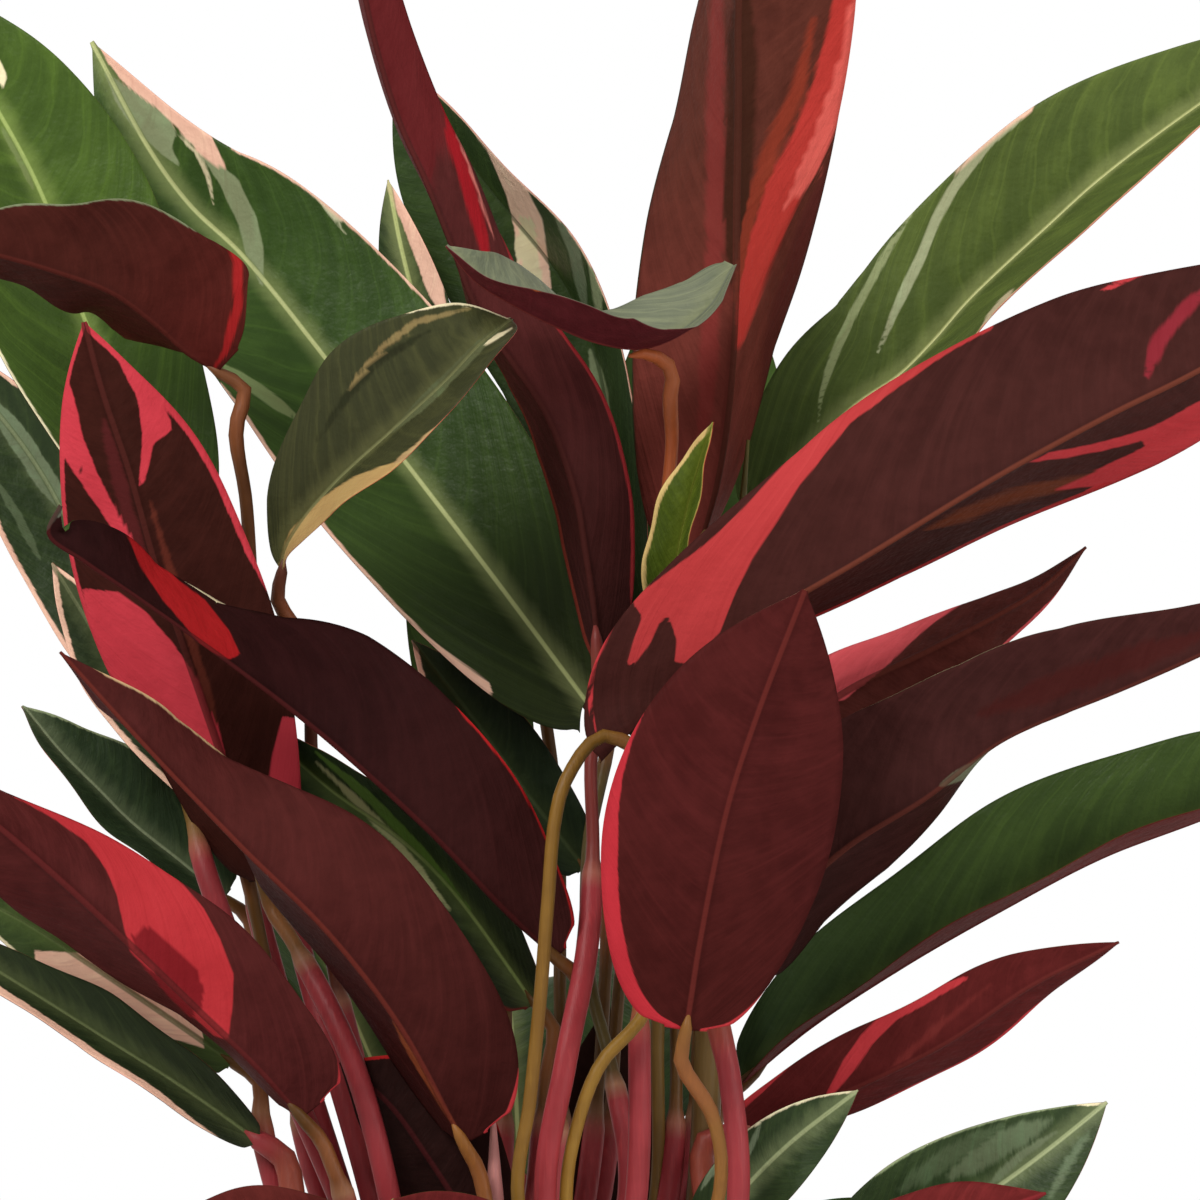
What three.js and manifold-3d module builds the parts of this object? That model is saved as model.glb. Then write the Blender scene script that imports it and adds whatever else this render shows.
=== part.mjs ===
// Stromanthe 'Triostar': a prayer plant with variegated blades that are green above and burgundy
// below, growing as a clump of leafy shoots in a round nursery pot.
//
// Frame: millimetres, +Z up, origin on the surface that the pot stands on, under the pot's axis.
// The plant faces -Y.

import * as THREE from 'three';
import { mergeVertices } from 'three/addons/utils/BufferGeometryUtils.js';
import Module from 'manifold-3d';

const wasm = await Module();
wasm.setup();

// ---------------------------------------------------------------- driving dimensions

const POT_HEIGHT = 150;
const POT_TOP_RADIUS = 82;
const POT_FOOT_RADIUS = 60;
const POT_WALL = 2.6;
const RIM_HEIGHT = 20;
const RIM_STEP = 4;
const DRAIN_RADIUS = 4.5;
const DRAIN_COUNT = 6;
const DRAIN_RING = 38;

const SOIL_TOP = 136;
const SOIL_CROWN = 4;
const FIT_GAP = 0.3;

const BLADE_THICKNESS = 0.8;
const BLADE_ROWS = 10;
const BLADE_COLUMNS = 4;
const STALK_RADIUS = 2;
const SHEATH_RADIUS = 3.4;
const SPEAR_RADIUS = 4.6;
const STALK_SIDES = 6;
const STALK_STEP = 30;
const STALK_GAP = 1.8;
const STALK_DROP = 3.6;
const STEM_RADIUS = 7;
const STEM_FOOT = SOIL_TOP - 30;
const STEM_TOP = SOIL_TOP + 34;

// The plant is drawn on a front elevation: a square grid of GRID millimetres that stands on the
// pot's axis.  Columns run right and rows run down.  A third number says how many millimetres a
// point stands forward of the axis, and the points line up from a viewpoint in front.
const GRID = 0.32;
const AXIS_COLUMN = 560;
const FLOOR_ROW = 1934;
const VIEW_COLUMN = 600;
const VIEW_ROW = 600;
const VIEW_DISTANCE = 2133;

function place([column, row, forward]) {
  const near = 1 - forward / VIEW_DISTANCE;
  return new THREE.Vector3(
    GRID * (VIEW_COLUMN - AXIS_COLUMN + (column - VIEW_COLUMN) * near),
    -forward,
    GRID * (FLOOR_ROW - VIEW_ROW + (VIEW_ROW - row) * near));
}

// ---------------------------------------------------------------- the plant's table

// Where each shoot comes out of the soil: across and forward, in millimetres.
const SHOOTS = {
  a: [-50, 36],
  b: [-44, 2],
  c: [-22, 44],
  d: [-8, 0],
  e: [12, -30],
  f: [10, 46],
  g: [34, 4],
  h: [40, 42],
  i: [-30, -42],
  j: [36, -46],
};

// One row for each leaf.  rib: the midrib from base to tip on the elevation.  half: half the
// blade's width in millimetres.  roll: how far the blade turns about its rib, in degrees.  fold:
// how far each half lifts from flat, and curl how much more its margin does.  base: how broad the
// blade starts, and full how long it keeps its width towards the tip.
// lobe: how far the base reaches back past the stalk, in millimetres, and cleft whether it's
// heart-shaped there.  joint: where along the rib the stalk meets the blade, 0 at the rib's base.
// stalk: the petiole's way from the shoot up to the blade.
const LEAVES = {
  // far left
  a1: { face: 'under', half: 27, base: 0.32, full: 1.5, lobe: 10,
    roll: [-38, -36, -12, 20, 30], fold: 38,
    rib: [[302, 1118, 62], [260, 1070, 70], [200, 1012, 78], [130, 945, 88], [60, 880, 96],
      [-20, 812, 102], [-140, 730, 106]],
    stalk: [[345, 1200, 58], [332, 1165, 60]] },
  a2: { face: 'top', half: 13, roll: [0, 20, 32, 20, 10], fold: 38,
    rib: [[258, 1140, 38], [180, 1086, 40], [100, 1036, 42], [0, 973, 44], [-90, 920, 44]],
    stalk: [[300, 1230, 42]] },
  a3: { face: 'top', half: 15, roll: [10], fold: 30,
    rib: [[232, 1062, 26], [160, 1012, 28], [90, 965, 30], [20, 920, 30], [-60, 880, 30]],
    stalk: [[290, 1230, 32], [262, 1130, 30]] },
  a5: { face: 'under', half: 27, roll: [-30], fold: 25,
    rib: [[410, 1355, 56], [340, 1300, 70], [250, 1254, 84], [150, 1228, 94]],
    stalk: [] },
  a6: { face: 'top', half: 25, roll: [20], fold: 20,
    rib: [[330, 1395, 18], [250, 1365, 20], [150, 1345, 20], [40, 1360, 16]],
    stalk: [] },
  // left
  b1: { face: 'top', half: 35, full: 2.6, roll: [15, 12], fold: 20,
    rib: [[182, 545, -33], [149, 468, -35], [117, 396, -37], [80, 308, -39], [46, 205, -41],
      [0, 115, -43], [-95, -30, -47]],
    stalk: [[345, 1200, 10], [262, 930, -8], [205, 680, -28]] },
  b2: { face: 'top', half: 22, roll: [-14], fold: 25,
    rib: [[150, 700, -46], [115, 625, -56], [75, 535, -64], [40, 470, -68], [0, 415, -70],
      [-80, 330, -74]],
    stalk: [[352, 1230, 16], [258, 1010, 16], [207, 875, 14], [188, 805, 2]] },
  b3: { face: 'under', half: 33, base: 0.36, full: 0.7,
    roll: [-80, -50, -38, -36, -35, -34, -34, -34, -34, -34, -34], fold: 35, lobe: 0,
    rib: [[218, 372, 10], [187, 352, 13], [150, 320, 18], [112, 293, 23], [56, 272, 28], [0, 256, 32],
      [-95, 236, 38]],
    stalk: [[372, 1200, 14], [290, 900, -8], [256, 640, -8], [246, 500, 2], [236, 430, 9]] },
  b4: { face: 'under', half: 31.5, full: 3, roll: [-16, 2], fold: 24,
    rib: [[262, 880, 18], [222, 757, 24], [200, 693, 28], [156, 566, 36], [130, 474, 42],
      [102, 390, 46], [84, 322, 48]],
    stalk: [[390, 1200, 40], [352, 1060, 40], [295, 945, 26]] },
  b5: { face: 'top', half: 14, roll: [-5], fold: 30,
    rib: [[215, 800, 4], [170, 735, 0], [115, 665, -2], [78, 605, -4], [52, 563, -6]],
    stalk: [[322, 1200, 0], [270, 980, 4]] },
  b6: { face: 'top', half: 31, base: 0.95, full: 2.4, roll: [-38, -34], fold: 36,
    rib: [[282, 572, 13], [286, 550, 17], [303, 521, 23], [337, 482, 30], [394, 430, 40],
      [446, 382, 48], [482, 344, 50], [512, 320, 42]],
    stalk: [[388, 1200, 8], [330, 950, -6], [312, 760, -8], [306, 650, 2]] },
  b7: { face: 'top', half: 19, roll: [40], fold: 34,
    rib: [[224, 898, -20], [180, 862, -18], [130, 822, -16], [100, 792, -14], [60, 752, -12],
      [22, 706, -12]],
    stalk: [[340, 1200, -12], [266, 1010, -8]] },
  // front, left of the middle
  c1: { face: 'under', half: 37, base: 0.5, full: 2.6,
    roll: [-42, -41, -40, -39, -38, -36, -30, -23, -25, -38, -38],
    fold: [42, 46, 48, 48, 52, 66, 86, 90, 88, 70, 40], lobe: 16,
    rib: [[556, 958, 46], [500, 905, 56], [430, 832, 66], [330, 742, 76], [235, 668, 84],
      [140, 600, 88], [84, 562, 91], [48, 534, 93], [60, 505, 94]],
    stalk: [[552, 1200, 40], [566, 1040, 34]] },
  c2: { face: 'under', half: 33.5, full: 1.2, roll: [-37, -30],
    fold: [37, 37, 37, 37, 40, 46, 58, 76, 73, 40, 37], lobe: 10,
    rib: [[464, 1144, 58], [400, 1026, 68], [330, 935, 76], [240, 846, 84], [150, 752, 90],
      [60, 652, 94]],
    stalk: [[490, 1240, 56]] },
  c3: { face: 'top', half: 20, roll: [-20], fold: 30,
    rib: [[535, 1003, 16], [451, 888, 10], [400, 838, 8], [330, 788, 8], [250, 715, 8]],
    stalk: [[535, 1200, 28], [546, 1080, 20]] },
  c4: { face: 'under', half: 24, roll: [-20], fold: 25,
    rib: [[478, 1235, 38], [430, 1160, 38], [390, 1105, 36], [340, 1062, 34]],
    stalk: [] },
  c5: { face: 'under', half: 27, roll: [-10], fold: 25,
    rib: [[480, 1345, 76], [456, 1290, 94], [425, 1235, 108], [392, 1200, 116]],
    stalk: [] },
  // middle
  d1: { face: 'top', half: 39, full: 1.9, roll: [0, 10, 14, 2, -14], fold: 18, lobe: 12,
    cleft: true,
    rib: [[586, 701, -20], [494, 578, -28], [408, 466, -40], [332, 367, -50], [242, 255, -62],
      [190, 205, -68], [150, 150, -73], [92, 42, -80]],
    stalk: [[628, 1200, 22], [612, 1070, 14], [590, 980, 4], [588, 850, -12]] },
  d3: { face: 'top', half: 12, roll: [0], fold: 20,
    rib: [[475, 460, -68], [427, 340, -70], [403, 255, -72], [388, 180, -74]],
    stalk: [[560, 1200, -14], [560, 1000, -40], [556, 800, -66], [522, 600, -68]] },
  d4: { face: 'top', half: 36, full: 4, roll: [-39], fold: 36,
    rib: [[645, 625, -70], [612, 430, -78], [595, 350, -82], [556, 270, -86], [490, 188, -90],
      [397, 62, -94]],
    stalk: [[600, 1200, -20], [618, 1000, -40], [636, 800, -58]] },
  d5: { face: 'top', half: 15, roll: [0], fold: 20,
    rib: [[585, 868, -36], [530, 797, -38], [480, 727, -42], [412, 640, -46]],
    stalk: [[585, 1200, -10], [604, 1000, -26]] },
  // middle, back and top
  e1: { face: 'under', half: 44, base: 0.38, full: 2.6, roll: [35, 18, -11, -42, -56],
    fold: [50, 51, 51, 41, 38],
    rib: [[695, 565, 0], [718, 480, 2], [730, 400, 2], [736, 300, 0], [737, 200, -4],
      [738, 100, -8], [738, 0, -12], [750, -140, -18], [795, -360, -28]],
    stalk: [[655, 1200, 16], [658, 1030, 18], [668, 800, 10], [684, 640, 2]] },
  e3: { face: 'top', half: 11, roll: [-30], fold: 45,
    rib: [[672, 640, 36], [674, 580, 38], [690, 500, 40], [713, 422, 40]],
    stalk: [[668, 1200, 18], [676, 1000, 10], [666, 800, 18]] },
  e4: { face: 'under', half: 21, roll: [6], fold: 14,
    rib: [[598, 1345, -36], [600, 1240, -38], [604, 1120, -40], [608, 1005, -42]],
    stalk: [] },
  // front of the middle
  f1: { face: 'under', half: 44, base: 0.42, full: 3.4, roll: [40, 34, 20, 12], fold: 40,
    lobe: 37, cleft: true,
    rib: [[655, 716, 62], [666, 698, 62], [694, 667, 64], [755, 622, 66], [860, 560, 66],
      [1000, 475, 62], [1110, 415, 58], [1200, 370, 54], [1400, 250, 46]],
    stalk: [[518, 1200, 74], [530, 1100, 76], [540, 1000, 78], [548, 900, 79], [555, 820, 78],
      [566, 780, 76], [602, 736, 69]] },
  f2: { face: 'under', half: 36, full: 2.6, roll: [8], fold: 10, lobe: 8,
    rib: [[686, 1030, 88], [700, 940, 94], [728, 805, 100], [757, 715, 102], [805, 590, 104]],
    stalk: [[718, 1200, 74], [714, 1120, 78]] },
  f3: { face: 'under', half: 25, full: 2.2, roll: [-20], fold: [45, 50, 71, 63, 50],
    rib: [[598, 660, 24], [594, 610, 24], [584, 543, 23], [576, 499, 22], [547, 417, 20],
      [515, 367, 18], [479, 315, 14], [453, 250, 12], [427, 185, 10], [398, 120, 8], [369, 20, 6],
      [352, -90, 3], [345, -190, 0]],
    stalk: [[545, 1200, 60], [566, 1060, 58], [587, 950, 44], [593, 850, 34], [591, 760, 30]] },
  f4: { face: 'under', half: 25.5, full: 1.6, roll: [-35, -35, -28, -6, -4],
    fold: [25, 25, 35, 58, 60],
    rib: [[700, 800, 24], [845, 692, 24], [920, 655, 22], [1000, 614, 20], [1042, 588, 19],
      [1086, 547, 18]],
    stalk: [[566, 1200, 58], [576, 1130, 58], [600, 1065, 56], [645, 1012, 50], [672, 900, 34]] },
  f5: { face: 'under', half: 24, full: 4, fold: [34, 27, 20, 29, 34],
    roll: [-128, -128, -120, -104, -87, -92, -100, -106, -110], lobe: 0, joint: 0.36,
    rib: [[735, 266, 26], [712, 306, 28], [676, 335, 32], [640, 347, 37], [600, 342, 43],
      [562, 328, 49], [515, 305, 55], [475, 280, 60], [446, 246, 64]],
    stalk: [[636, 1200, 44], [640, 1000, 40], [652, 700, 26], [667, 500, 24], [672, 440, 24],
      [670, 400, 30]] },
  // right
  g3: { face: 'top', half: 31, full: 3.4, roll: [-54], fold: 46,
    rib: [[745, 1082, -8], [802, 1032, -6], [902, 966, -4], [1002, 909, -2], [1102, 857, 0],
      [1202, 819, 2], [1410, 735, 4]],
    stalk: [[690, 1200, 4]] },
  g4: { face: 'top', half: 35, full: 2.6, roll: [-33], fold: 42,
    rib: [[752, 520, -62], [850, 410, -62], [900, 375, -62], [935, 340, -62], [970, 300, -62],
      [1050, 225, -60], [1100, 180, -58], [1200, 105, -54], [1330, 20, -50]],
    stalk: [[690, 1200, -12], [700, 1000, -28], [722, 700, -50]] },
  g5: { face: 'top', half: 27, roll: [-10], fold: 20,
    rib: [[690, 1350, 0], [780, 1300, -16], [880, 1270, -28], [990, 1290, -36]],
    stalk: [] },
  // right front
  h1: { face: 'under', half: 18, roll: [42, 30], fold: 22,
    rib: [[735, 1132, 21], [792, 1112, 22], [866, 1082, 24], [950, 1040, 27], [1030, 986, 30],
      [1119, 942, 32]],
    stalk: [[708, 1240, 28]] },
  h2: { face: 'top', half: 13.5, roll: [-5], fold: 22,
    rib: [[700, 1240, 32], [738, 1195, 38], [790, 1143, 44], [858, 1090, 48]],
    stalk: [] },
  h3: { face: 'top', half: 25, full: 1.8, roll: [-10], fold: 20,
    rib: [[830, 1300, 36], [900, 1250, 40], [1000, 1185, 44], [1050, 1148, 46], [1107, 1102, 46]],
    stalk: [[730, 1370, 40]] },
  h4: { face: 'under', half: 16, roll: [20], fold: 30,
    rib: [[800, 1310, 60], [880, 1260, 66], [960, 1225, 70], [1046, 1193, 70]],
    stalk: [[725, 1360, 54]] },
  h5: { face: 'under', half: 34, base: 0.25, full: 2,
    roll: [14, 23, 30, 40, 58, 59, 50, 44, 44], fold: [34, 38, 36, 37, 30, 30, 38, 44, 44],
    rib: [[735, 965, 50], [800, 889, 54], [850, 845, 57], [927, 797, 60], [996, 744, 62],
      [1040, 722, 63], [1120, 690, 64], [1200, 655, 64], [1330, 590, 62]],
    stalk: [[738, 1200, 56], [730, 1080, 52]] },
  // back, left
  i1: { face: 'top', half: 33, up: true, roll: [0], fold: 25,
    rib: [[400, 1130, -84], [345, 1000, -112], [300, 900, -140], [265, 800, -158]],
    stalk: [[440, 1300, -56]] },
  i2: { face: 'top', half: 22, up: true, roll: [0], fold: 20,
    rib: [[500, 900, -96], [474, 740, -124], [456, 580, -148], [444, 440, -176], [440, 380, -196]],
    stalk: [[500, 1200, -62]] },
  i3: { face: 'top', half: 30, up: true, roll: [0], fold: 22,
    rib: [[380, 1350, -74], [330, 1300, -106], [270, 1262, -134], [200, 1250, -150]],
    stalk: [] },
  i4: { face: 'top', half: 32, up: true, roll: [0], fold: 22,
    rib: [[520, 1180, -92], [515, 1080, -130], [510, 1010, -168], [505, 980, -204]],
    stalk: [[500, 1330, -62]] },
  // back, right
  j1: { face: 'top', half: 36, up: true, roll: [0], fold: 20,
    rib: [[676, 760, -110], [690, 600, -136], [698, 440, -158], [702, 320, -182], [704, 250, -204]],
    stalk: [[650, 1200, -56], [660, 980, -84]] },
  j2: { face: 'top', half: 34, up: true, roll: [0], fold: 24,
    rib: [[742, 960, -100], [800, 860, -124], [862, 780, -144], [925, 715, -156]],
    stalk: [[690, 1200, -66]] },
  j3: { face: 'top', half: 31, up: true, roll: [0], fold: 22,
    rib: [[710, 1330, -90], [780, 1290, -116], [850, 1270, -136], [920, 1268, -150]],
    stalk: [] },
  j4: { face: 'top', half: 31, up: true, roll: [0], fold: 22,
    rib: [[640, 1140, -96], [645, 1040, -134], [648, 980, -170], [650, 950, -206]],
    stalk: [[640, 1320, -70]] },
};

// Young leaves that are still rolled into a spear: the way from the shoot up to the point.
const SPEARS = {
  c: [[495, 1230, 48], [493, 1108, 46]],
  g: [[700, 1200, 14], [714, 900, 10], [727, 640, -4], [740, 530, -14], [748, 440, -20]],
};

const LEAF_DEFAULTS = {
  base: 0.42, full: 2.2, lobe: 6, cleft: false, curl: 0, up: false, joint: 0,
};

const COLOURS = {
  top: 0x44602c,
  under: 0x5a2426,
  stalk: 0x8a6a34,
  soil: 0x33261c,
  pot: 0x2c2e30,
};

// ---------------------------------------------------------------- curves and closed meshes

function evenCurve(points) {
  const curve = new THREE.CatmullRomCurve3(points, false, 'centripetal');
  curve.arcLengthDivisions = 400;
  return curve;
}

// Reads a short list of values, spread evenly from base to tip, at the place t.
function series(values, t) {
  const list = [values].flat();
  const at = t * (list.length - 1);
  const low = Math.min(Math.floor(at), Math.max(list.length - 2, 0));
  const high = Math.min(low + 1, list.length - 1);
  return list[low] + (list[high] - list[low]) * (at - low);
}

function closedGeometry(positions, indices) {
  const geometry = new THREE.BufferGeometry();
  geometry.setAttribute('position', new THREE.Float32BufferAttribute(positions, 3));
  geometry.setIndex(indices);
  geometry.computeVertexNormals();
  return geometry;
}

function toSolid(geometry) {
  const bare = geometry.clone();
  bare.deleteAttribute('normal');
  bare.deleteAttribute('uv');
  const merged = mergeVertices(bare, 1e-4);
  return new wasm.Manifold(new wasm.Mesh({
    numProp: 3,
    vertProperties: new Float32Array(merged.attributes.position.array),
    triVerts: new Uint32Array(merged.index.array),
  }));
}

function fromSolid(solid) {
  const mesh = solid.getMesh();
  return closedGeometry(Array.from(mesh.vertProperties), Array.from(mesh.triVerts));
}

// ---------------------------------------------------------------- blades

// The blade's half width along its rib, from 0 to 1: round at the base, long and pointed.
function outline(t, leaf) {
  const widest = (leaf.base / (leaf.base + leaf.full)) ** (1 / leaf.full);
  const most = widest ** leaf.base * (1 - widest ** leaf.full);
  return t ** leaf.base * (1 - t ** leaf.full) / most;
}

// The rib's direction and the direction that the blade's upper side looks, at the place t.
function bladeFrame(leaf, rib, t) {
  const along = rib.getTangentAt(Math.min(Math.max(t, 0.004), 0.996));
  const facing = leaf.up ? new THREE.Vector3(0, 0, 1) : new THREE.Vector3(0, -1, 0);
  const ahead = facing.addScaledVector(along, -facing.dot(along)).normalize();
  const right = new THREE.Vector3().crossVectors(along, ahead);
  const turn = THREE.MathUtils.degToRad(series(leaf.roll, t) + (leaf.face === 'under' ? 180 : 0));
  const top = ahead.clone().multiplyScalar(Math.cos(turn)).addScaledVector(right, Math.sin(turn));
  return { along, top };
}

// A point of the blade: t runs from base to tip, side from -1 to 1 across.
function bladePoint(leaf, rib, t, side) {
  const { along, top } = bladeFrame(leaf, rib, t);
  const across = new THREE.Vector3().crossVectors(along, top);
  const lift = THREE.MathUtils.degToRad(series(leaf.fold, t) + leaf.curl * Math.abs(side));
  const share = outline(Math.min(Math.max(t, 0.006), 0.994), leaf);
  const reach = leaf.half * share * Math.abs(side);
  const near = Math.max(0, Math.min(leaf.cleft ? 1 : t / 0.04, 1 - t / 0.3));
  const back = leaf.lobe * near * Math.abs(side) ** 1.5 * share ** (leaf.cleft ? 0.3 : 1);
  return rib.getPointAt(t)
    .addScaledVector(across, Math.sign(side) * reach * Math.cos(lift))
    .addScaledVector(top, reach * Math.sin(lift))
    .addScaledVector(along, -back);
}

function bladeGeometry(leaf, rib) {
  const middle = [];
  for (let row = 0; row <= BLADE_ROWS; row += 1) {
    const t = (row / BLADE_ROWS) ** 1.2;
    for (let column = 0; column <= BLADE_COLUMNS; column += 1) {
      middle.push(bladePoint(leaf, rib, t, -1 + 2 * column / BLADE_COLUMNS));
    }
  }
  const wide = BLADE_COLUMNS + 1;
  const at = (row, column) => row * wide + column;
  const faces = [];
  for (let row = 0; row < BLADE_ROWS; row += 1) {
    for (let column = 0; column < BLADE_COLUMNS; column += 1) {
      faces.push([at(row, column), at(row, column + 1), at(row + 1, column + 1)]);
      faces.push([at(row, column), at(row + 1, column + 1), at(row + 1, column)]);
    }
  }
  const sheet = closedGeometry(middle.flatMap((p) => p.toArray()), faces.flat());
  const normals = sheet.attributes.normal;
  const positions = [];
  for (const sense of [0.5, -0.5]) {
    middle.forEach((p, k) => {
      const normal = new THREE.Vector3().fromBufferAttribute(normals, k);
      positions.push(...p.clone().addScaledVector(normal, sense * BLADE_THICKNESS).toArray());
    });
  }
  const below = middle.length;
  const indices = faces.flat();
  faces.forEach(([a, b, c]) => indices.push(a + below, c + below, b + below));
  const rim = [];
  for (let column = 0; column < BLADE_COLUMNS; column += 1) rim.push(at(0, column));
  for (let row = 0; row < BLADE_ROWS; row += 1) rim.push(at(row, BLADE_COLUMNS));
  for (let column = BLADE_COLUMNS; column > 0; column -= 1) rim.push(at(BLADE_ROWS, column));
  for (let row = BLADE_ROWS; row > 0; row -= 1) rim.push(at(row, 0));
  rim.forEach((a, k) => {
    const b = rim[(k + 1) % rim.length];
    indices.push(b, a, a + below, b, a + below, b + below);
  });
  return closedGeometry(positions, indices);
}

// ---------------------------------------------------------------- stalks and shoots

// A closed tube along a curve, with a radius for every place on it.
function tubeGeometry(curve, radiusAt, steps) {
  const frames = curve.computeFrenetFrames(steps, false);
  const positions = [];
  for (let step = 0; step <= steps; step += 1) {
    const centre = curve.getPointAt(step / steps);
    const radius = radiusAt(step / steps);
    for (let side = 0; side < STALK_SIDES; side += 1) {
      const angle = 2 * Math.PI * side / STALK_SIDES;
      positions.push(...centre.clone()
        .addScaledVector(frames.normals[step], radius * Math.cos(angle))
        .addScaledVector(frames.binormals[step], radius * Math.sin(angle)).toArray());
    }
  }
  const indices = [];
  const at = (step, side) => step * STALK_SIDES + side % STALK_SIDES;
  for (let step = 0; step < steps; step += 1) {
    for (let side = 0; side < STALK_SIDES; side += 1) {
      indices.push(at(step, side), at(step, side + 1), at(step + 1, side + 1));
      indices.push(at(step, side), at(step + 1, side + 1), at(step + 1, side));
    }
  }
  for (let side = 1; side < STALK_SIDES - 1; side += 1) {
    indices.push(at(0, 0), at(0, side + 1), at(0, side));
    indices.push(at(steps, 0), at(steps, side), at(steps, side + 1));
  }
  return closedGeometry(positions, indices);
}

function stalkSolid(leaf, rib, shoot) {
  const base = rib.getPointAt(leaf.joint);
  const { along, top } = bladeFrame(leaf, rib, leaf.joint);
  // A stalk that meets a heart-shaped base or the middle of a rib comes from under the blade.
  const drop = leaf.cleft || leaf.joint ? STALK_DROP : 0;
  const [across, forward] = SHOOTS[shoot];
  const curve = evenCurve([
    new THREE.Vector3(across, -forward, SOIL_TOP + 6),
    new THREE.Vector3(across, -forward, STEM_TOP - 8),
    ...leaf.stalk.map(place),
    base.clone().addScaledVector(along, -10).addScaledVector(top, -2.4 * drop),
    base.clone().addScaledVector(along, -STALK_GAP).addScaledVector(top, -drop),
  ]);
  const steps = Math.max(4, Math.round(curve.getLength() / STALK_STEP));
  const thick = (t) => SHEATH_RADIUS + (STALK_RADIUS - SHEATH_RADIUS) * Math.min(1, t / 0.5);
  return toSolid(tubeGeometry(curve, thick, steps));
}

function spearSolid(shoot) {
  const [across, forward] = SHOOTS[shoot];
  const curve = evenCurve([
    new THREE.Vector3(across, -forward, SOIL_TOP + 6),
    new THREE.Vector3(across, -forward, STEM_TOP - 8),
    ...SPEARS[shoot].map(place),
  ]);
  const steps = Math.max(4, Math.round(curve.getLength() / STALK_STEP));
  const taper = (t) => SPEAR_RADIUS * Math.min(1, 0.12 + 2.2 * (1 - t));
  return toSolid(tubeGeometry(curve, taper, steps));
}

function stemPath(shoot) {
  const [across, forward] = SHOOTS[shoot];
  return new THREE.LineCurve3(
    new THREE.Vector3(across, -forward, STEM_FOOT),
    new THREE.Vector3(across, -forward, STEM_TOP));
}

function shootGeometry(shoot, leaves, ribs) {
  let solid = toSolid(tubeGeometry(stemPath(shoot), (t) => STEM_RADIUS * (1 - 0.25 * t), 2));
  for (const [name, leaf] of leaves) {
    solid = solid.add(stalkSolid(leaf, ribs[name], shoot));
  }
  return fromSolid(SPEARS[shoot] ? solid.add(spearSolid(shoot)) : solid);
}

// ---------------------------------------------------------------- pot and soil

function potRadius(height) {
  return POT_FOOT_RADIUS + (POT_TOP_RADIUS - POT_FOOT_RADIUS) * height / POT_HEIGHT;
}

function potGeometry() {
  const rimFoot = POT_HEIGHT - RIM_HEIGHT;
  const profile = [
    [0, 0],
    [POT_FOOT_RADIUS - 2, 0],
    [POT_FOOT_RADIUS, 2],
    [potRadius(rimFoot - 1.5), rimFoot - 1.5],
    [potRadius(rimFoot) + RIM_STEP, rimFoot],
    [POT_TOP_RADIUS + RIM_STEP, POT_HEIGHT - 1],
    [POT_TOP_RADIUS + RIM_STEP - 1, POT_HEIGHT],
    [POT_TOP_RADIUS - POT_WALL + 1, POT_HEIGHT],
    [POT_TOP_RADIUS - POT_WALL, POT_HEIGHT - 1],
    [potRadius(POT_WALL) - POT_WALL, POT_WALL],
    [0, POT_WALL],
  ].map(([radius, height]) => new THREE.Vector2(radius, height));
  const shell = new THREE.LatheGeometry(profile, 40).rotateX(Math.PI / 2);
  let solid = toSolid(shell);
  for (let hole = 0; hole < DRAIN_COUNT; hole += 1) {
    const angle = 2 * Math.PI * hole / DRAIN_COUNT;
    const drain = new THREE.CylinderGeometry(DRAIN_RADIUS, DRAIN_RADIUS, 4 * POT_WALL, 12)
      .rotateX(Math.PI / 2)
      .translate(DRAIN_RING * Math.cos(angle), DRAIN_RING * Math.sin(angle), 0);
    solid = solid.subtract(toSolid(drain));
  }
  return fromSolid(solid);
}

function soilGeometry() {
  const foot = POT_WALL + FIT_GAP;
  const edge = (height) => potRadius(height) - POT_WALL - FIT_GAP;
  const profile = [
    [0, foot],
    [edge(foot), foot],
    [edge(SOIL_TOP - SOIL_CROWN), SOIL_TOP - SOIL_CROWN],
    [edge(SOIL_TOP) * 0.8, SOIL_TOP - 1],
    [edge(SOIL_TOP) * 0.4, SOIL_TOP],
    [0, SOIL_TOP],
  ].map(([radius, height]) => new THREE.Vector2(radius, height));
  let solid = toSolid(new THREE.LatheGeometry(profile, 40).rotateX(Math.PI / 2));
  for (const shoot of Object.keys(SHOOTS)) {
    const [across, forward] = SHOOTS[shoot];
    const bore = STEM_RADIUS + FIT_GAP;
    const deep = SOIL_TOP - STEM_FOOT + 20;
    const hole = new THREE.CylinderGeometry(bore, bore, deep, 12)
      .rotateX(Math.PI / 2)
      .translate(across, -forward, STEM_FOOT - FIT_GAP + deep / 2);
    solid = solid.subtract(toSolid(hole));
  }
  return fromSolid(solid);
}

// ---------------------------------------------------------------- the plant

function named(name, geometry, colour, roughness) {
  const material = new THREE.MeshStandardMaterial({ color: colour, roughness, metalness: 0 });
  const mesh = new THREE.Mesh(geometry, material);
  mesh.name = name;
  return mesh;
}

const plant = new THREE.Group();
plant.add(named('pot', potGeometry(), COLOURS.pot, 0.6));
plant.add(named('soil', soilGeometry(), COLOURS.soil, 0.95));

const leaves = Object.entries(LEAVES).map(([name, row]) => [name, { ...LEAF_DEFAULTS, ...row }]);
const ribs = {};
for (const [name, leaf] of leaves) {
  ribs[name] = evenCurve(leaf.rib.map(place));
  plant.add(named(`leaf_${name}`, bladeGeometry(leaf, ribs[name]), COLOURS[leaf.face], 0.45));
}
for (const shoot of Object.keys(SHOOTS)) {
  const own = leaves.filter(([name]) => name.startsWith(shoot));
  plant.add(named(`shoot_${shoot}`, shootGeometry(shoot, own, ribs), COLOURS.stalk, 0.5));
}

export default plant;
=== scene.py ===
"""Stromanthe 'Triostar', a potted prayer plant: the visual model, in metres, in the CAD frame."""
import math
import random

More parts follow.
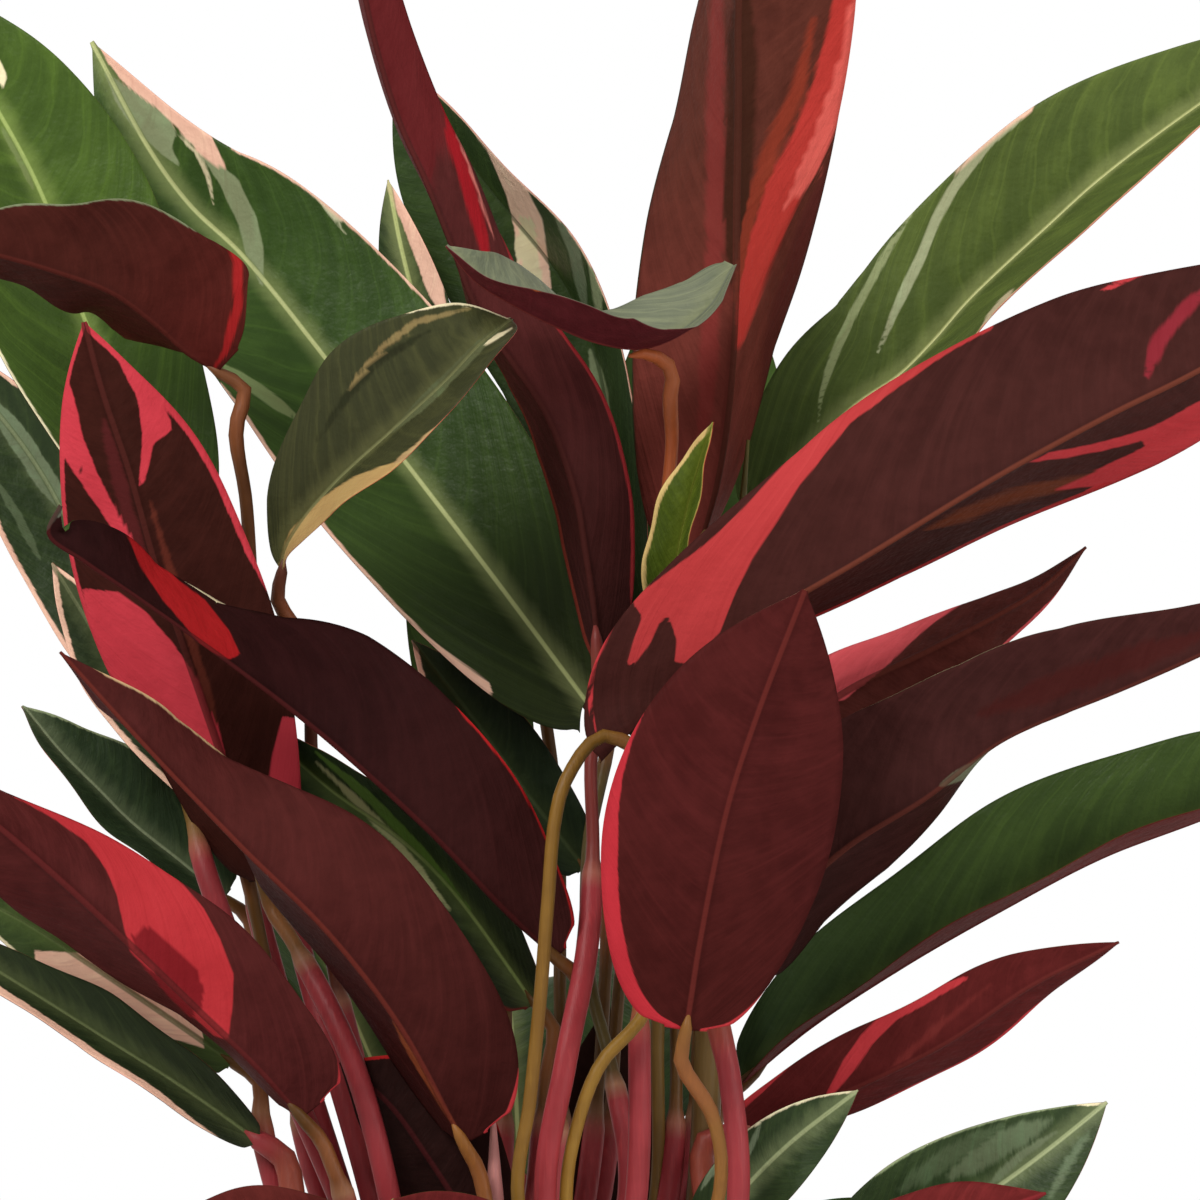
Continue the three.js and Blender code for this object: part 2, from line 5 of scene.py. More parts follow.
import bpy
import numpy as np
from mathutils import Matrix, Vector, noise


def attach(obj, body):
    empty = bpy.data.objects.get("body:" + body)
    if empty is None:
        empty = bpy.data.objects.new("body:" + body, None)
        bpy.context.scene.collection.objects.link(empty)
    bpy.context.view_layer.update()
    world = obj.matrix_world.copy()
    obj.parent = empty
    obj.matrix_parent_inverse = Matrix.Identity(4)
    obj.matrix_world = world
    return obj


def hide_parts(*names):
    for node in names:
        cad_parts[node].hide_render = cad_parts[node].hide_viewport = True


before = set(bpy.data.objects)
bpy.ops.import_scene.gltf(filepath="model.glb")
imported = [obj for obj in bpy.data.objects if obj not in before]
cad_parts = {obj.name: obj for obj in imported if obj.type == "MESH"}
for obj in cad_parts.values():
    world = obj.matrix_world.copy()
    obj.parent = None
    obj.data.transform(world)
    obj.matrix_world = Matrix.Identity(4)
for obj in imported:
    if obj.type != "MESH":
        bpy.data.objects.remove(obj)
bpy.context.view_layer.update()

# ---------------------------------------------------------------- driving dimensions, millimetres

MM = 0.001
SOIL_TOP = 136
SOIL_MESH = (46, 120)
CRUMB_MESH = (5, 7)
CRUMB_COUNT = 170
CRUMB_SPREAD = 72
CRUMB_SIZES = (1.2, 3.4)
STEM_RISE = 34
STEM_TOP = SOIL_TOP + STEM_RISE
POT_HEIGHT = 150
POT_TOP_RADIUS = 82
POT_FOOT_RADIUS = 60
POT_WALL = 2.6

BLADE_THICKNESS = 0.7
MARGIN_WAVE = 1.2
WAVE_COUNTS = (2.2, 3.6)
RIDGE_HEIGHT = 0.8
PLEAT_HEIGHT = 0.05
VEIN_SPACING = 17
STALK_RADIUS = 2.1
SHEATH_RADIUS = 3.6
PULVINUS_LENGTH = 24
JOINT_SWELL = 0.35
COLLAR_SWELL = 0.5
SHEATH_FLATNESS = 0.18
STALK_DROP = 3.6
STEM_RADIUS = 7
STEM_TAPER = (1.05, 0.35)
WRAP_DEPTH = 0.08
WRAP_FOLDS = 5
SPEAR_RADIUS = 4.6
STALK_SIDES = 14
FOOT_IN_SOIL = 30
STALK_STEP = 5
CROWN_SIDES = 24

# The plant's elevation grid, the same as in the CAD part: squares of GRID millimetres.
GRID = 0.32
AXIS_COLUMN = 560
FLOOR_ROW = 1934
VIEW_COLUMN = 600
VIEW_ROW = 600
VIEW_DISTANCE = 2133

# The studio: a warm white light, how strong the sky is, the floor's radius in metres and the
# number of its sides, and the camera's focal length and sensor in millimetres.
WARM_WHITE = (1, 0.975, 0.93)
SKY_STRENGTH = 0.62
FLOOR_RADIUS = 1.5
DISC_SIDES = 96
LENS = 200
SENSOR = 36

# How far the lateral veins sweep to the tip, by the first and second power of the way out.
VEIN_SWEEP = (0.13, 0.17)
# The span of shares of a rib that its outline is read at.
NEAR_ENDS = (0.006, 0.994)

# Rows and columns of the blades' meshes: the finest carry streaks, the coarse ones stand behind.
FINEST = (132, 26)
FINE = (80, 16)
COARSE = (44, 10)


def place(point):
    """A (column, row, forward) point of the elevation grid, in millimetres."""
    column, row, forward = point
    near = 1 - forward / VIEW_DISTANCE
    return np.array([
        GRID * (VIEW_COLUMN - AXIS_COLUMN + (column - VIEW_COLUMN) * near),
        -forward,
        GRID * (FLOOR_ROW - VIEW_ROW + (VIEW_ROW - row) * near),
    ])


def on_grid(points):
    """The columns and rows of an array of points in millimetres: the way back from place()."""
    near = 1 + points[..., 1] / VIEW_DISTANCE
    columns = VIEW_COLUMN + (points[..., 0] / GRID - (VIEW_COLUMN - AXIS_COLUMN)) / near
    rows = VIEW_ROW - (points[..., 2] / GRID - (FLOOR_ROW - VIEW_ROW)) / near
    return columns, rows


# ---------------------------------------------------------------- the plant's table

# Where each shoot comes out of the soil: across and forward, in millimetres.
SHOOTS = {
    "a": (-50, 36),
    "b": (-44, 2),
    "c": (-22, 44),
    "d": (-8, 0),
    "e": (12, -30),
    "f": (10, 46),
    "g": (34, 4),
    "h": (40, 42),
    "i": (-30, -42),
    "j": (36, -46),
}

# The same rows as in the CAD part.  face: the side that is turned to the front.  half: half of the
# blade's greatest width, in millimetres.  base and full: the two powers of its outline.  lobe: how
# many millimetres its margin reaches back at the stalk.  roll and fold: degrees about the rib, from
# the base to the tip.  curl: more degrees towards the margin.  cleft: the base is heart-shaped.
# up: the top side faces up, not forward.  joint: the share of the rib where the stalk meets it.
# rib and stalk: (column, row, forward) points.
LEAVES = {
  # far left
  "a1": {"face": "under", "half": 27, "base": 0.32, "full": 1.5, "lobe": 10,
    "roll": [-38, -36, -12, 20, 30], "fold": 38,
    "rib": [[302, 1118, 62], [260, 1070, 70], [200, 1012, 78], [130, 945, 88], [60, 880, 96],
      [-20, 812, 102], [-140, 730, 106]],
    "stalk": [[345, 1200, 58], [332, 1165, 60]]},
  "a2": {"face": "top", "half": 13, "roll": [0, 20, 32, 20, 10], "fold": 38,
    "rib": [[258, 1140, 38], [180, 1086, 40], [100, 1036, 42], [0, 973, 44], [-90, 920, 44]],
    "stalk": [[300, 1230, 42]]},
  "a3": {"face": "top", "half": 15, "roll": [10], "fold": 30,
    "rib": [[232, 1062, 26], [160, 1012, 28], [90, 965, 30], [20, 920, 30], [-60, 880, 30]],
    "stalk": [[290, 1230, 32], [262, 1130, 30]]},
  "a5": {"face": "under", "half": 27, "roll": [-30], "fold": 25,
    "rib": [[410, 1355, 56], [340, 1300, 70], [250, 1254, 84], [150, 1228, 94]],
    "stalk": []},
  "a6": {"face": "top", "half": 25, "roll": [20], "fold": 20,
    "rib": [[330, 1395, 18], [250, 1365, 20], [150, 1345, 20], [40, 1360, 16]],
    "stalk": []},
  # left
  "b1": {"face": "top", "half": 35, "full": 2.6, "roll": [15, 12], "fold": 20,
    "rib": [[182, 545, -33], [149, 468, -35], [117, 396, -37], [80, 308, -39], [46, 205, -41],
      [0, 115, -43], [-95, -30, -47]],
    "stalk": [[345, 1200, 10], [262, 930, -8], [205, 680, -28]]},
  "b2": {"face": "top", "half": 22, "roll": [-14], "fold": 25,
    "rib": [[150, 700, -46], [115, 625, -56], [75, 535, -64], [40, 470, -68], [0, 415, -70],
      [-80, 330, -74]],
    "stalk": [[352, 1230, 16], [258, 1010, 16], [207, 875, 14], [188, 805, 2]]},
  "b3": {"face": "under", "half": 33, "base": 0.36, "full": 0.7,
    "roll": [-80, -50, -38, -36, -35, -34, -34, -34, -34, -34, -34], "fold": 35, "lobe": 0,
    "rib": [[218, 372, 10], [187, 352, 13], [150, 320, 18], [112, 293, 23], [56, 272, 28],
      [0, 256, 32], [-95, 236, 38]],
    "stalk": [[372, 1200, 14], [290, 900, -8], [256, 640, -8], [246, 500, 2], [236, 430, 9]]},
  "b4": {"face": "under", "half": 31.5, "full": 3, "roll": [-16, 2], "fold": 24,
    "rib": [[262, 880, 18], [222, 757, 24], [200, 693, 28], [156, 566, 36], [130, 474, 42],
      [102, 390, 46], [84, 322, 48]],
    "stalk": [[390, 1200, 40], [352, 1060, 40], [295, 945, 26]]},
  "b5": {"face": "top", "half": 14, "roll": [-5], "fold": 30,
    "rib": [[215, 800, 4], [170, 735, 0], [115, 665, -2], [78, 605, -4], [52, 563, -6]],
    "stalk": [[322, 1200, 0], [270, 980, 4]]},
  "b6": {"face": "top", "half": 31, "base": 0.95, "full": 2.4, "roll": [-38, -34], "fold": 36,
    "rib": [[282, 572, 13], [286, 550, 17], [303, 521, 23], [337, 482, 30], [394, 430, 40],
      [446, 382, 48], [482, 344, 50], [512, 320, 42]],
    "stalk": [[388, 1200, 8], [330, 950, -6], [312, 760, -8], [306, 650, 2]]},
  "b7": {"face": "top", "half": 19, "roll": [40], "fold": 34,
    "rib": [[224, 898, -20], [180, 862, -18], [130, 822, -16], [100, 792, -14], [60, 752, -12],
      [22, 706, -12]],
    "stalk": [[340, 1200, -12], [266, 1010, -8]]},
  # front, left of the middle
  "c1": {"face": "under", "half": 37, "base": 0.5, "full": 2.6,
    "roll": [-42, -41, -40, -39, -38, -36, -30, -23, -25, -38, -38],
    "fold": [42, 46, 48, 48, 52, 66, 86, 90, 88, 70, 40], "lobe": 16,
    "rib": [[556, 958, 46], [500, 905, 56], [430, 832, 66], [330, 742, 76], [235, 668, 84],
      [140, 600, 88], [84, 562, 91], [48, 534, 93], [60, 505, 94]],
    "stalk": [[552, 1200, 40], [566, 1040, 34]]},
  "c2": {"face": "under", "half": 33.5, "full": 1.2, "roll": [-37, -30],
    "fold": [37, 37, 37, 37, 40, 46, 58, 76, 73, 40, 37], "lobe": 10,
    "rib": [[464, 1144, 58], [400, 1026, 68], [330, 935, 76], [240, 846, 84], [150, 752, 90],
      [60, 652, 94]],
    "stalk": [[490, 1240, 56]]},
  "c3": {"face": "top", "half": 20, "roll": [-20], "fold": 30,
    "rib": [[535, 1003, 16], [451, 888, 10], [400, 838, 8], [330, 788, 8], [250, 715, 8]],
    "stalk": [[535, 1200, 28], [546, 1080, 20]]},
  "c4": {"face": "under", "half": 24, "roll": [-20], "fold": 25,
    "rib": [[478, 1235, 38], [430, 1160, 38], [390, 1105, 36], [340, 1062, 34]],
    "stalk": []},
  "c5": {"face": "under", "half": 27, "roll": [-10], "fold": 25,
    "rib": [[480, 1345, 76], [456, 1290, 94], [425, 1235, 108], [392, 1200, 116]],
    "stalk": []},
  # middle
  "d1": {"face": "top", "half": 39, "full": 1.9, "roll": [0, 10, 14, 2, -14], "fold": 18,
    "lobe": 12, "cleft": True,
    "rib": [[586, 701, -20], [494, 578, -28], [408, 466, -40], [332, 367, -50], [242, 255, -62],
      [190, 205, -68], [150, 150, -73], [92, 42, -80]],
    "stalk": [[628, 1200, 22], [612, 1070, 14], [590, 980, 4], [588, 850, -12]]},
  "d3": {"face": "top", "half": 12, "roll": [0], "fold": 20,
    "rib": [[475, 460, -68], [427, 340, -70], [403, 255, -72], [388, 180, -74]],
    "stalk": [[560, 1200, -14], [560, 1000, -40], [556, 800, -66], [522, 600, -68]]},
  "d4": {"face": "top", "half": 36, "full": 4, "roll": [-39], "fold": 36,
    "rib": [[645, 625, -70], [612, 430, -78], [595, 350, -82], [556, 270, -86], [490, 188, -90],
      [397, 62, -94]],
    "stalk": [[600, 1200, -20], [618, 1000, -40], [636, 800, -58]]},
  "d5": {"face": "top", "half": 15, "roll": [0], "fold": 20,
    "rib": [[585, 868, -36], [530, 797, -38], [480, 727, -42], [412, 640, -46]],
    "stalk": [[585, 1200, -10], [604, 1000, -26]]},
  # middle, back and top
  "e1": {"face": "under", "half": 44, "base": 0.38, "full": 2.6, "roll": [35, 18, -11, -42, -56],
    "fold": [50, 51, 51, 41, 38],
    "rib": [[695, 565, 0], [718, 480, 2], [730, 400, 2], [736, 300, 0], [737, 200, -4],
      [738, 100, -8], [738, 0, -12], [750, -140, -18], [795, -360, -28]],
    "stalk": [[655, 1200, 16], [658, 1030, 18], [668, 800, 10], [684, 640, 2]]},
  "e3": {"face": "top", "half": 11, "roll": [-30], "fold": 45,
    "rib": [[672, 640, 36], [674, 580, 38], [690, 500, 40], [713, 422, 40]],
    "stalk": [[668, 1200, 18], [676, 1000, 10], [666, 800, 18]]},
  "e4": {"face": "under", "half": 21, "roll": [6], "fold": 14,
    "rib": [[598, 1345, -36], [600, 1240, -38], [604, 1120, -40], [608, 1005, -42]],
    "stalk": []},
  # front of the middle
  "f1": {"face": "under", "half": 44, "base": 0.42, "full": 3.4, "roll": [40, 34, 20, 12],
    "fold": 40, "lobe": 37, "cleft": True,
    "rib": [[655, 716, 62], [666, 698, 62], [694, 667, 64], [755, 622, 66], [860, 560, 66],
      [1000, 475, 62], [1110, 415, 58], [1200, 370, 54], [1400, 250, 46]],
    "stalk": [[518, 1200, 74], [530, 1100, 76], [540, 1000, 78], [548, 900, 79], [555, 820, 78],
      [566, 780, 76], [602, 736, 69]]},
  "f2": {"face": "under", "half": 36, "full": 2.6, "roll": [8], "fold": 10, "lobe": 8,
    "rib": [[686, 1030, 88], [700, 940, 94], [728, 805, 100], [757, 715, 102], [805, 590, 104]],
    "stalk": [[718, 1200, 74], [714, 1120, 78]]},
  "f3": {"face": "under", "half": 25, "full": 2.2, "roll": [-20], "fold": [45, 50, 71, 63, 50],
    "rib": [[598, 660, 24], [594, 610, 24], [584, 543, 23], [576, 499, 22], [547, 417, 20],
      [515, 367, 18], [479, 315, 14], [453, 250, 12], [427, 185, 10], [398, 120, 8], [369, 20, 6],
      [352, -90, 3], [345, -190, 0]],
    "stalk": [[545, 1200, 60], [566, 1060, 58], [587, 950, 44], [593, 850, 34], [591, 760, 30]]},
  "f4": {"face": "under", "half": 25.5, "full": 1.6, "roll": [-35, -35, -28, -6, -4],
    "fold": [25, 25, 35, 58, 60],
    "rib": [[700, 800, 24], [845, 692, 24], [920, 655, 22], [1000, 614, 20], [1042, 588, 19],
      [1086, 547, 18]],
    "stalk": [[566, 1200, 58], [576, 1130, 58], [600, 1065, 56], [645, 1012, 50], [672, 900, 34]]},
  "f5": {"face": "under", "half": 24, "full": 4, "fold": [34, 27, 20, 29, 34],
    "roll": [-128, -128, -120, -104, -87, -92, -100, -106, -110], "lobe": 0, "joint": 0.36,
    "rib": [[735, 266, 26], [712, 306, 28], [676, 335, 32], [640, 347, 37], [600, 342, 43],
      [562, 328, 49], [515, 305, 55], [475, 280, 60], [446, 246, 64]],
    "stalk": [[636, 1200, 44], [640, 1000, 40], [652, 700, 26], [667, 500, 24], [672, 440, 24],
      [670, 400, 30]]},
  # right
  "g3": {"face": "top", "half": 31, "full": 3.4, "roll": [-54], "fold": 46,
    "rib": [[745, 1082, -8], [802, 1032, -6], [902, 966, -4], [1002, 909, -2], [1102, 857, 0],
      [1202, 819, 2], [1410, 735, 4]],
    "stalk": [[690, 1200, 4]]},
  "g4": {"face": "top", "half": 35, "full": 2.6, "roll": [-33], "fold": 42,
    "rib": [[752, 520, -62], [850, 410, -62], [900, 375, -62], [935, 340, -62], [970, 300, -62],
      [1050, 225, -60], [1100, 180, -58], [1200, 105, -54], [1330, 20, -50]],
    "stalk": [[690, 1200, -12], [700, 1000, -28], [722, 700, -50]]},
  "g5": {"face": "top", "half": 27, "roll": [-10], "fold": 20,
    "rib": [[690, 1350, 0], [780, 1300, -16], [880, 1270, -28], [990, 1290, -36]],
    "stalk": []},
  # right front
  "h1": {"face": "under", "half": 18, "roll": [42, 30], "fold": 22,
    "rib": [[735, 1132, 21], [792, 1112, 22], [866, 1082, 24], [950, 1040, 27], [1030, 986, 30],
      [1119, 942, 32]],
    "stalk": [[708, 1240, 28]]},
  "h2": {"face": "top", "half": 13.5, "roll": [-5], "fold": 22,
    "rib": [[700, 1240, 32], [738, 1195, 38], [790, 1143, 44], [858, 1090, 48]],
    "stalk": []},
  "h3": {"face": "top", "half": 25, "full": 1.8, "roll": [-10], "fold": 20,
    "rib": [[830, 1300, 36], [900, 1250, 40], [1000, 1185, 44], [1050, 1148, 46], [1107, 1102, 46]],
    "stalk": [[730, 1370, 40]]},
  "h4": {"face": "under", "half": 16, "roll": [20], "fold": 30,
    "rib": [[800, 1310, 60], [880, 1260, 66], [960, 1225, 70], [1046, 1193, 70]],
    "stalk": [[725, 1360, 54]]},
  "h5": {"face": "under", "half": 34, "base": 0.25, "full": 2,
    "roll": [14, 23, 30, 40, 58, 59, 50, 44, 44], "fold": [34, 38, 36, 37, 30, 30, 38, 44, 44],
    "rib": [[735, 965, 50], [800, 889, 54], [850, 845, 57], [927, 797, 60], [996, 744, 62],
      [1040, 722, 63], [1120, 690, 64], [1200, 655, 64], [1330, 590, 62]],
    "stalk": [[738, 1200, 56], [730, 1080, 52]]},
  # back, left
  "i1": {"face": "top", "half": 33, "up": True, "roll": [0], "fold": 25,
    "rib": [[400, 1130, -84], [345, 1000, -112], [300, 900, -140], [265, 800, -158]],
    "stalk": [[440, 1300, -56]]},
  "i2": {"face": "top", "half": 22, "up": True, "roll": [0], "fold": 20,
    "rib": [[500, 900, -96], [474, 740, -124], [456, 580, -148], [444, 440, -176],
      [440, 380, -196]],
    "stalk": [[500, 1200, -62]]},
  "i3": {"face": "top", "half": 30, "up": True, "roll": [0], "fold": 22,
    "rib": [[380, 1350, -74], [330, 1300, -106], [270, 1262, -134], [200, 1250, -150]],
    "stalk": []},
  "i4": {"face": "top", "half": 32, "up": True, "roll": [0], "fold": 22,
    "rib": [[520, 1180, -92], [515, 1080, -130], [510, 1010, -168], [505, 980, -204]],
    "stalk": [[500, 1330, -62]]},
  # back, right
  "j1": {"face": "top", "half": 36, "up": True, "roll": [0], "fold": 20,
    "rib": [[676, 760, -110], [690, 600, -136], [698, 440, -158], [702, 320, -182],
      [704, 250, -204]],
    "stalk": [[650, 1200, -56], [660, 980, -84]]},
  "j2": {"face": "top", "half": 34, "up": True, "roll": [0], "fold": 24,
    "rib": [[742, 960, -100], [800, 860, -124], [862, 780, -144], [925, 715, -156]],
    "stalk": [[690, 1200, -66]]},
  "j3": {"face": "top", "half": 31, "up": True, "roll": [0], "fold": 22,
    "rib": [[710, 1330, -90], [780, 1290, -116], [850, 1270, -136], [920, 1268, -150]],
    "stalk": []},
  "j4": {"face": "top", "half": 31, "up": True, "roll": [0], "fold": 22,
    "rib": [[640, 1140, -96], [645, 1040, -134], [648, 980, -170], [650, 950, -206]],
    "stalk": [[640, 1320, -70]]},
}

LEAF_DEFAULTS = {"base": 0.42, "full": 2.2, "lobe": 6, "cleft": False, "curl": 0, "up": False,
                 "joint": 0}

# Young leaves that are still rolled into a spear.
SPEARS = {
    "c": [[495, 1230, 48], [493, 1108, 46]],
    "g": [[700, 1200, 14], [714, 900, 10], [727, 640, -4], [740, 530, -14], [748, 440, -20]],
}

# ---------------------------------------------------------------- colours, sRGB 0 to 255

GREEN = (54, 76, 32)
DEEP_GREEN = (34, 52, 30)
BURGUNDY = (84, 33, 30)
PINK = (190, 58, 64)
RED = (172, 34, 36)
BRIGHT_PINK = (196, 60, 72)
# PINK painted lighter for f4, to make up for the shade that leaf sits in: painted light.
PINK_WITH_PAINTED_LIGHT = (226, 92, 100)
CORAL = (226, 100, 92)
SALMON = (246, 200, 176)
CREAM = (238, 228, 190)
SILVER = (140, 154, 116)
MOSS_LINE = (186, 196, 132)
RED_LINE = (132, 50, 42)
OLIVE = (92, 62, 27)
ROSE = (152, 54, 60)
PALE_ROSE = (214, 150, 146)
JOINT_BROWN = (138, 78, 46)
NUB = (200, 170, 130)
FOOT_BROWN = (104, 58, 44)
SPEAR_BROWN = (112, 76, 44)
SPEAR_GREEN = (104, 96, 52)

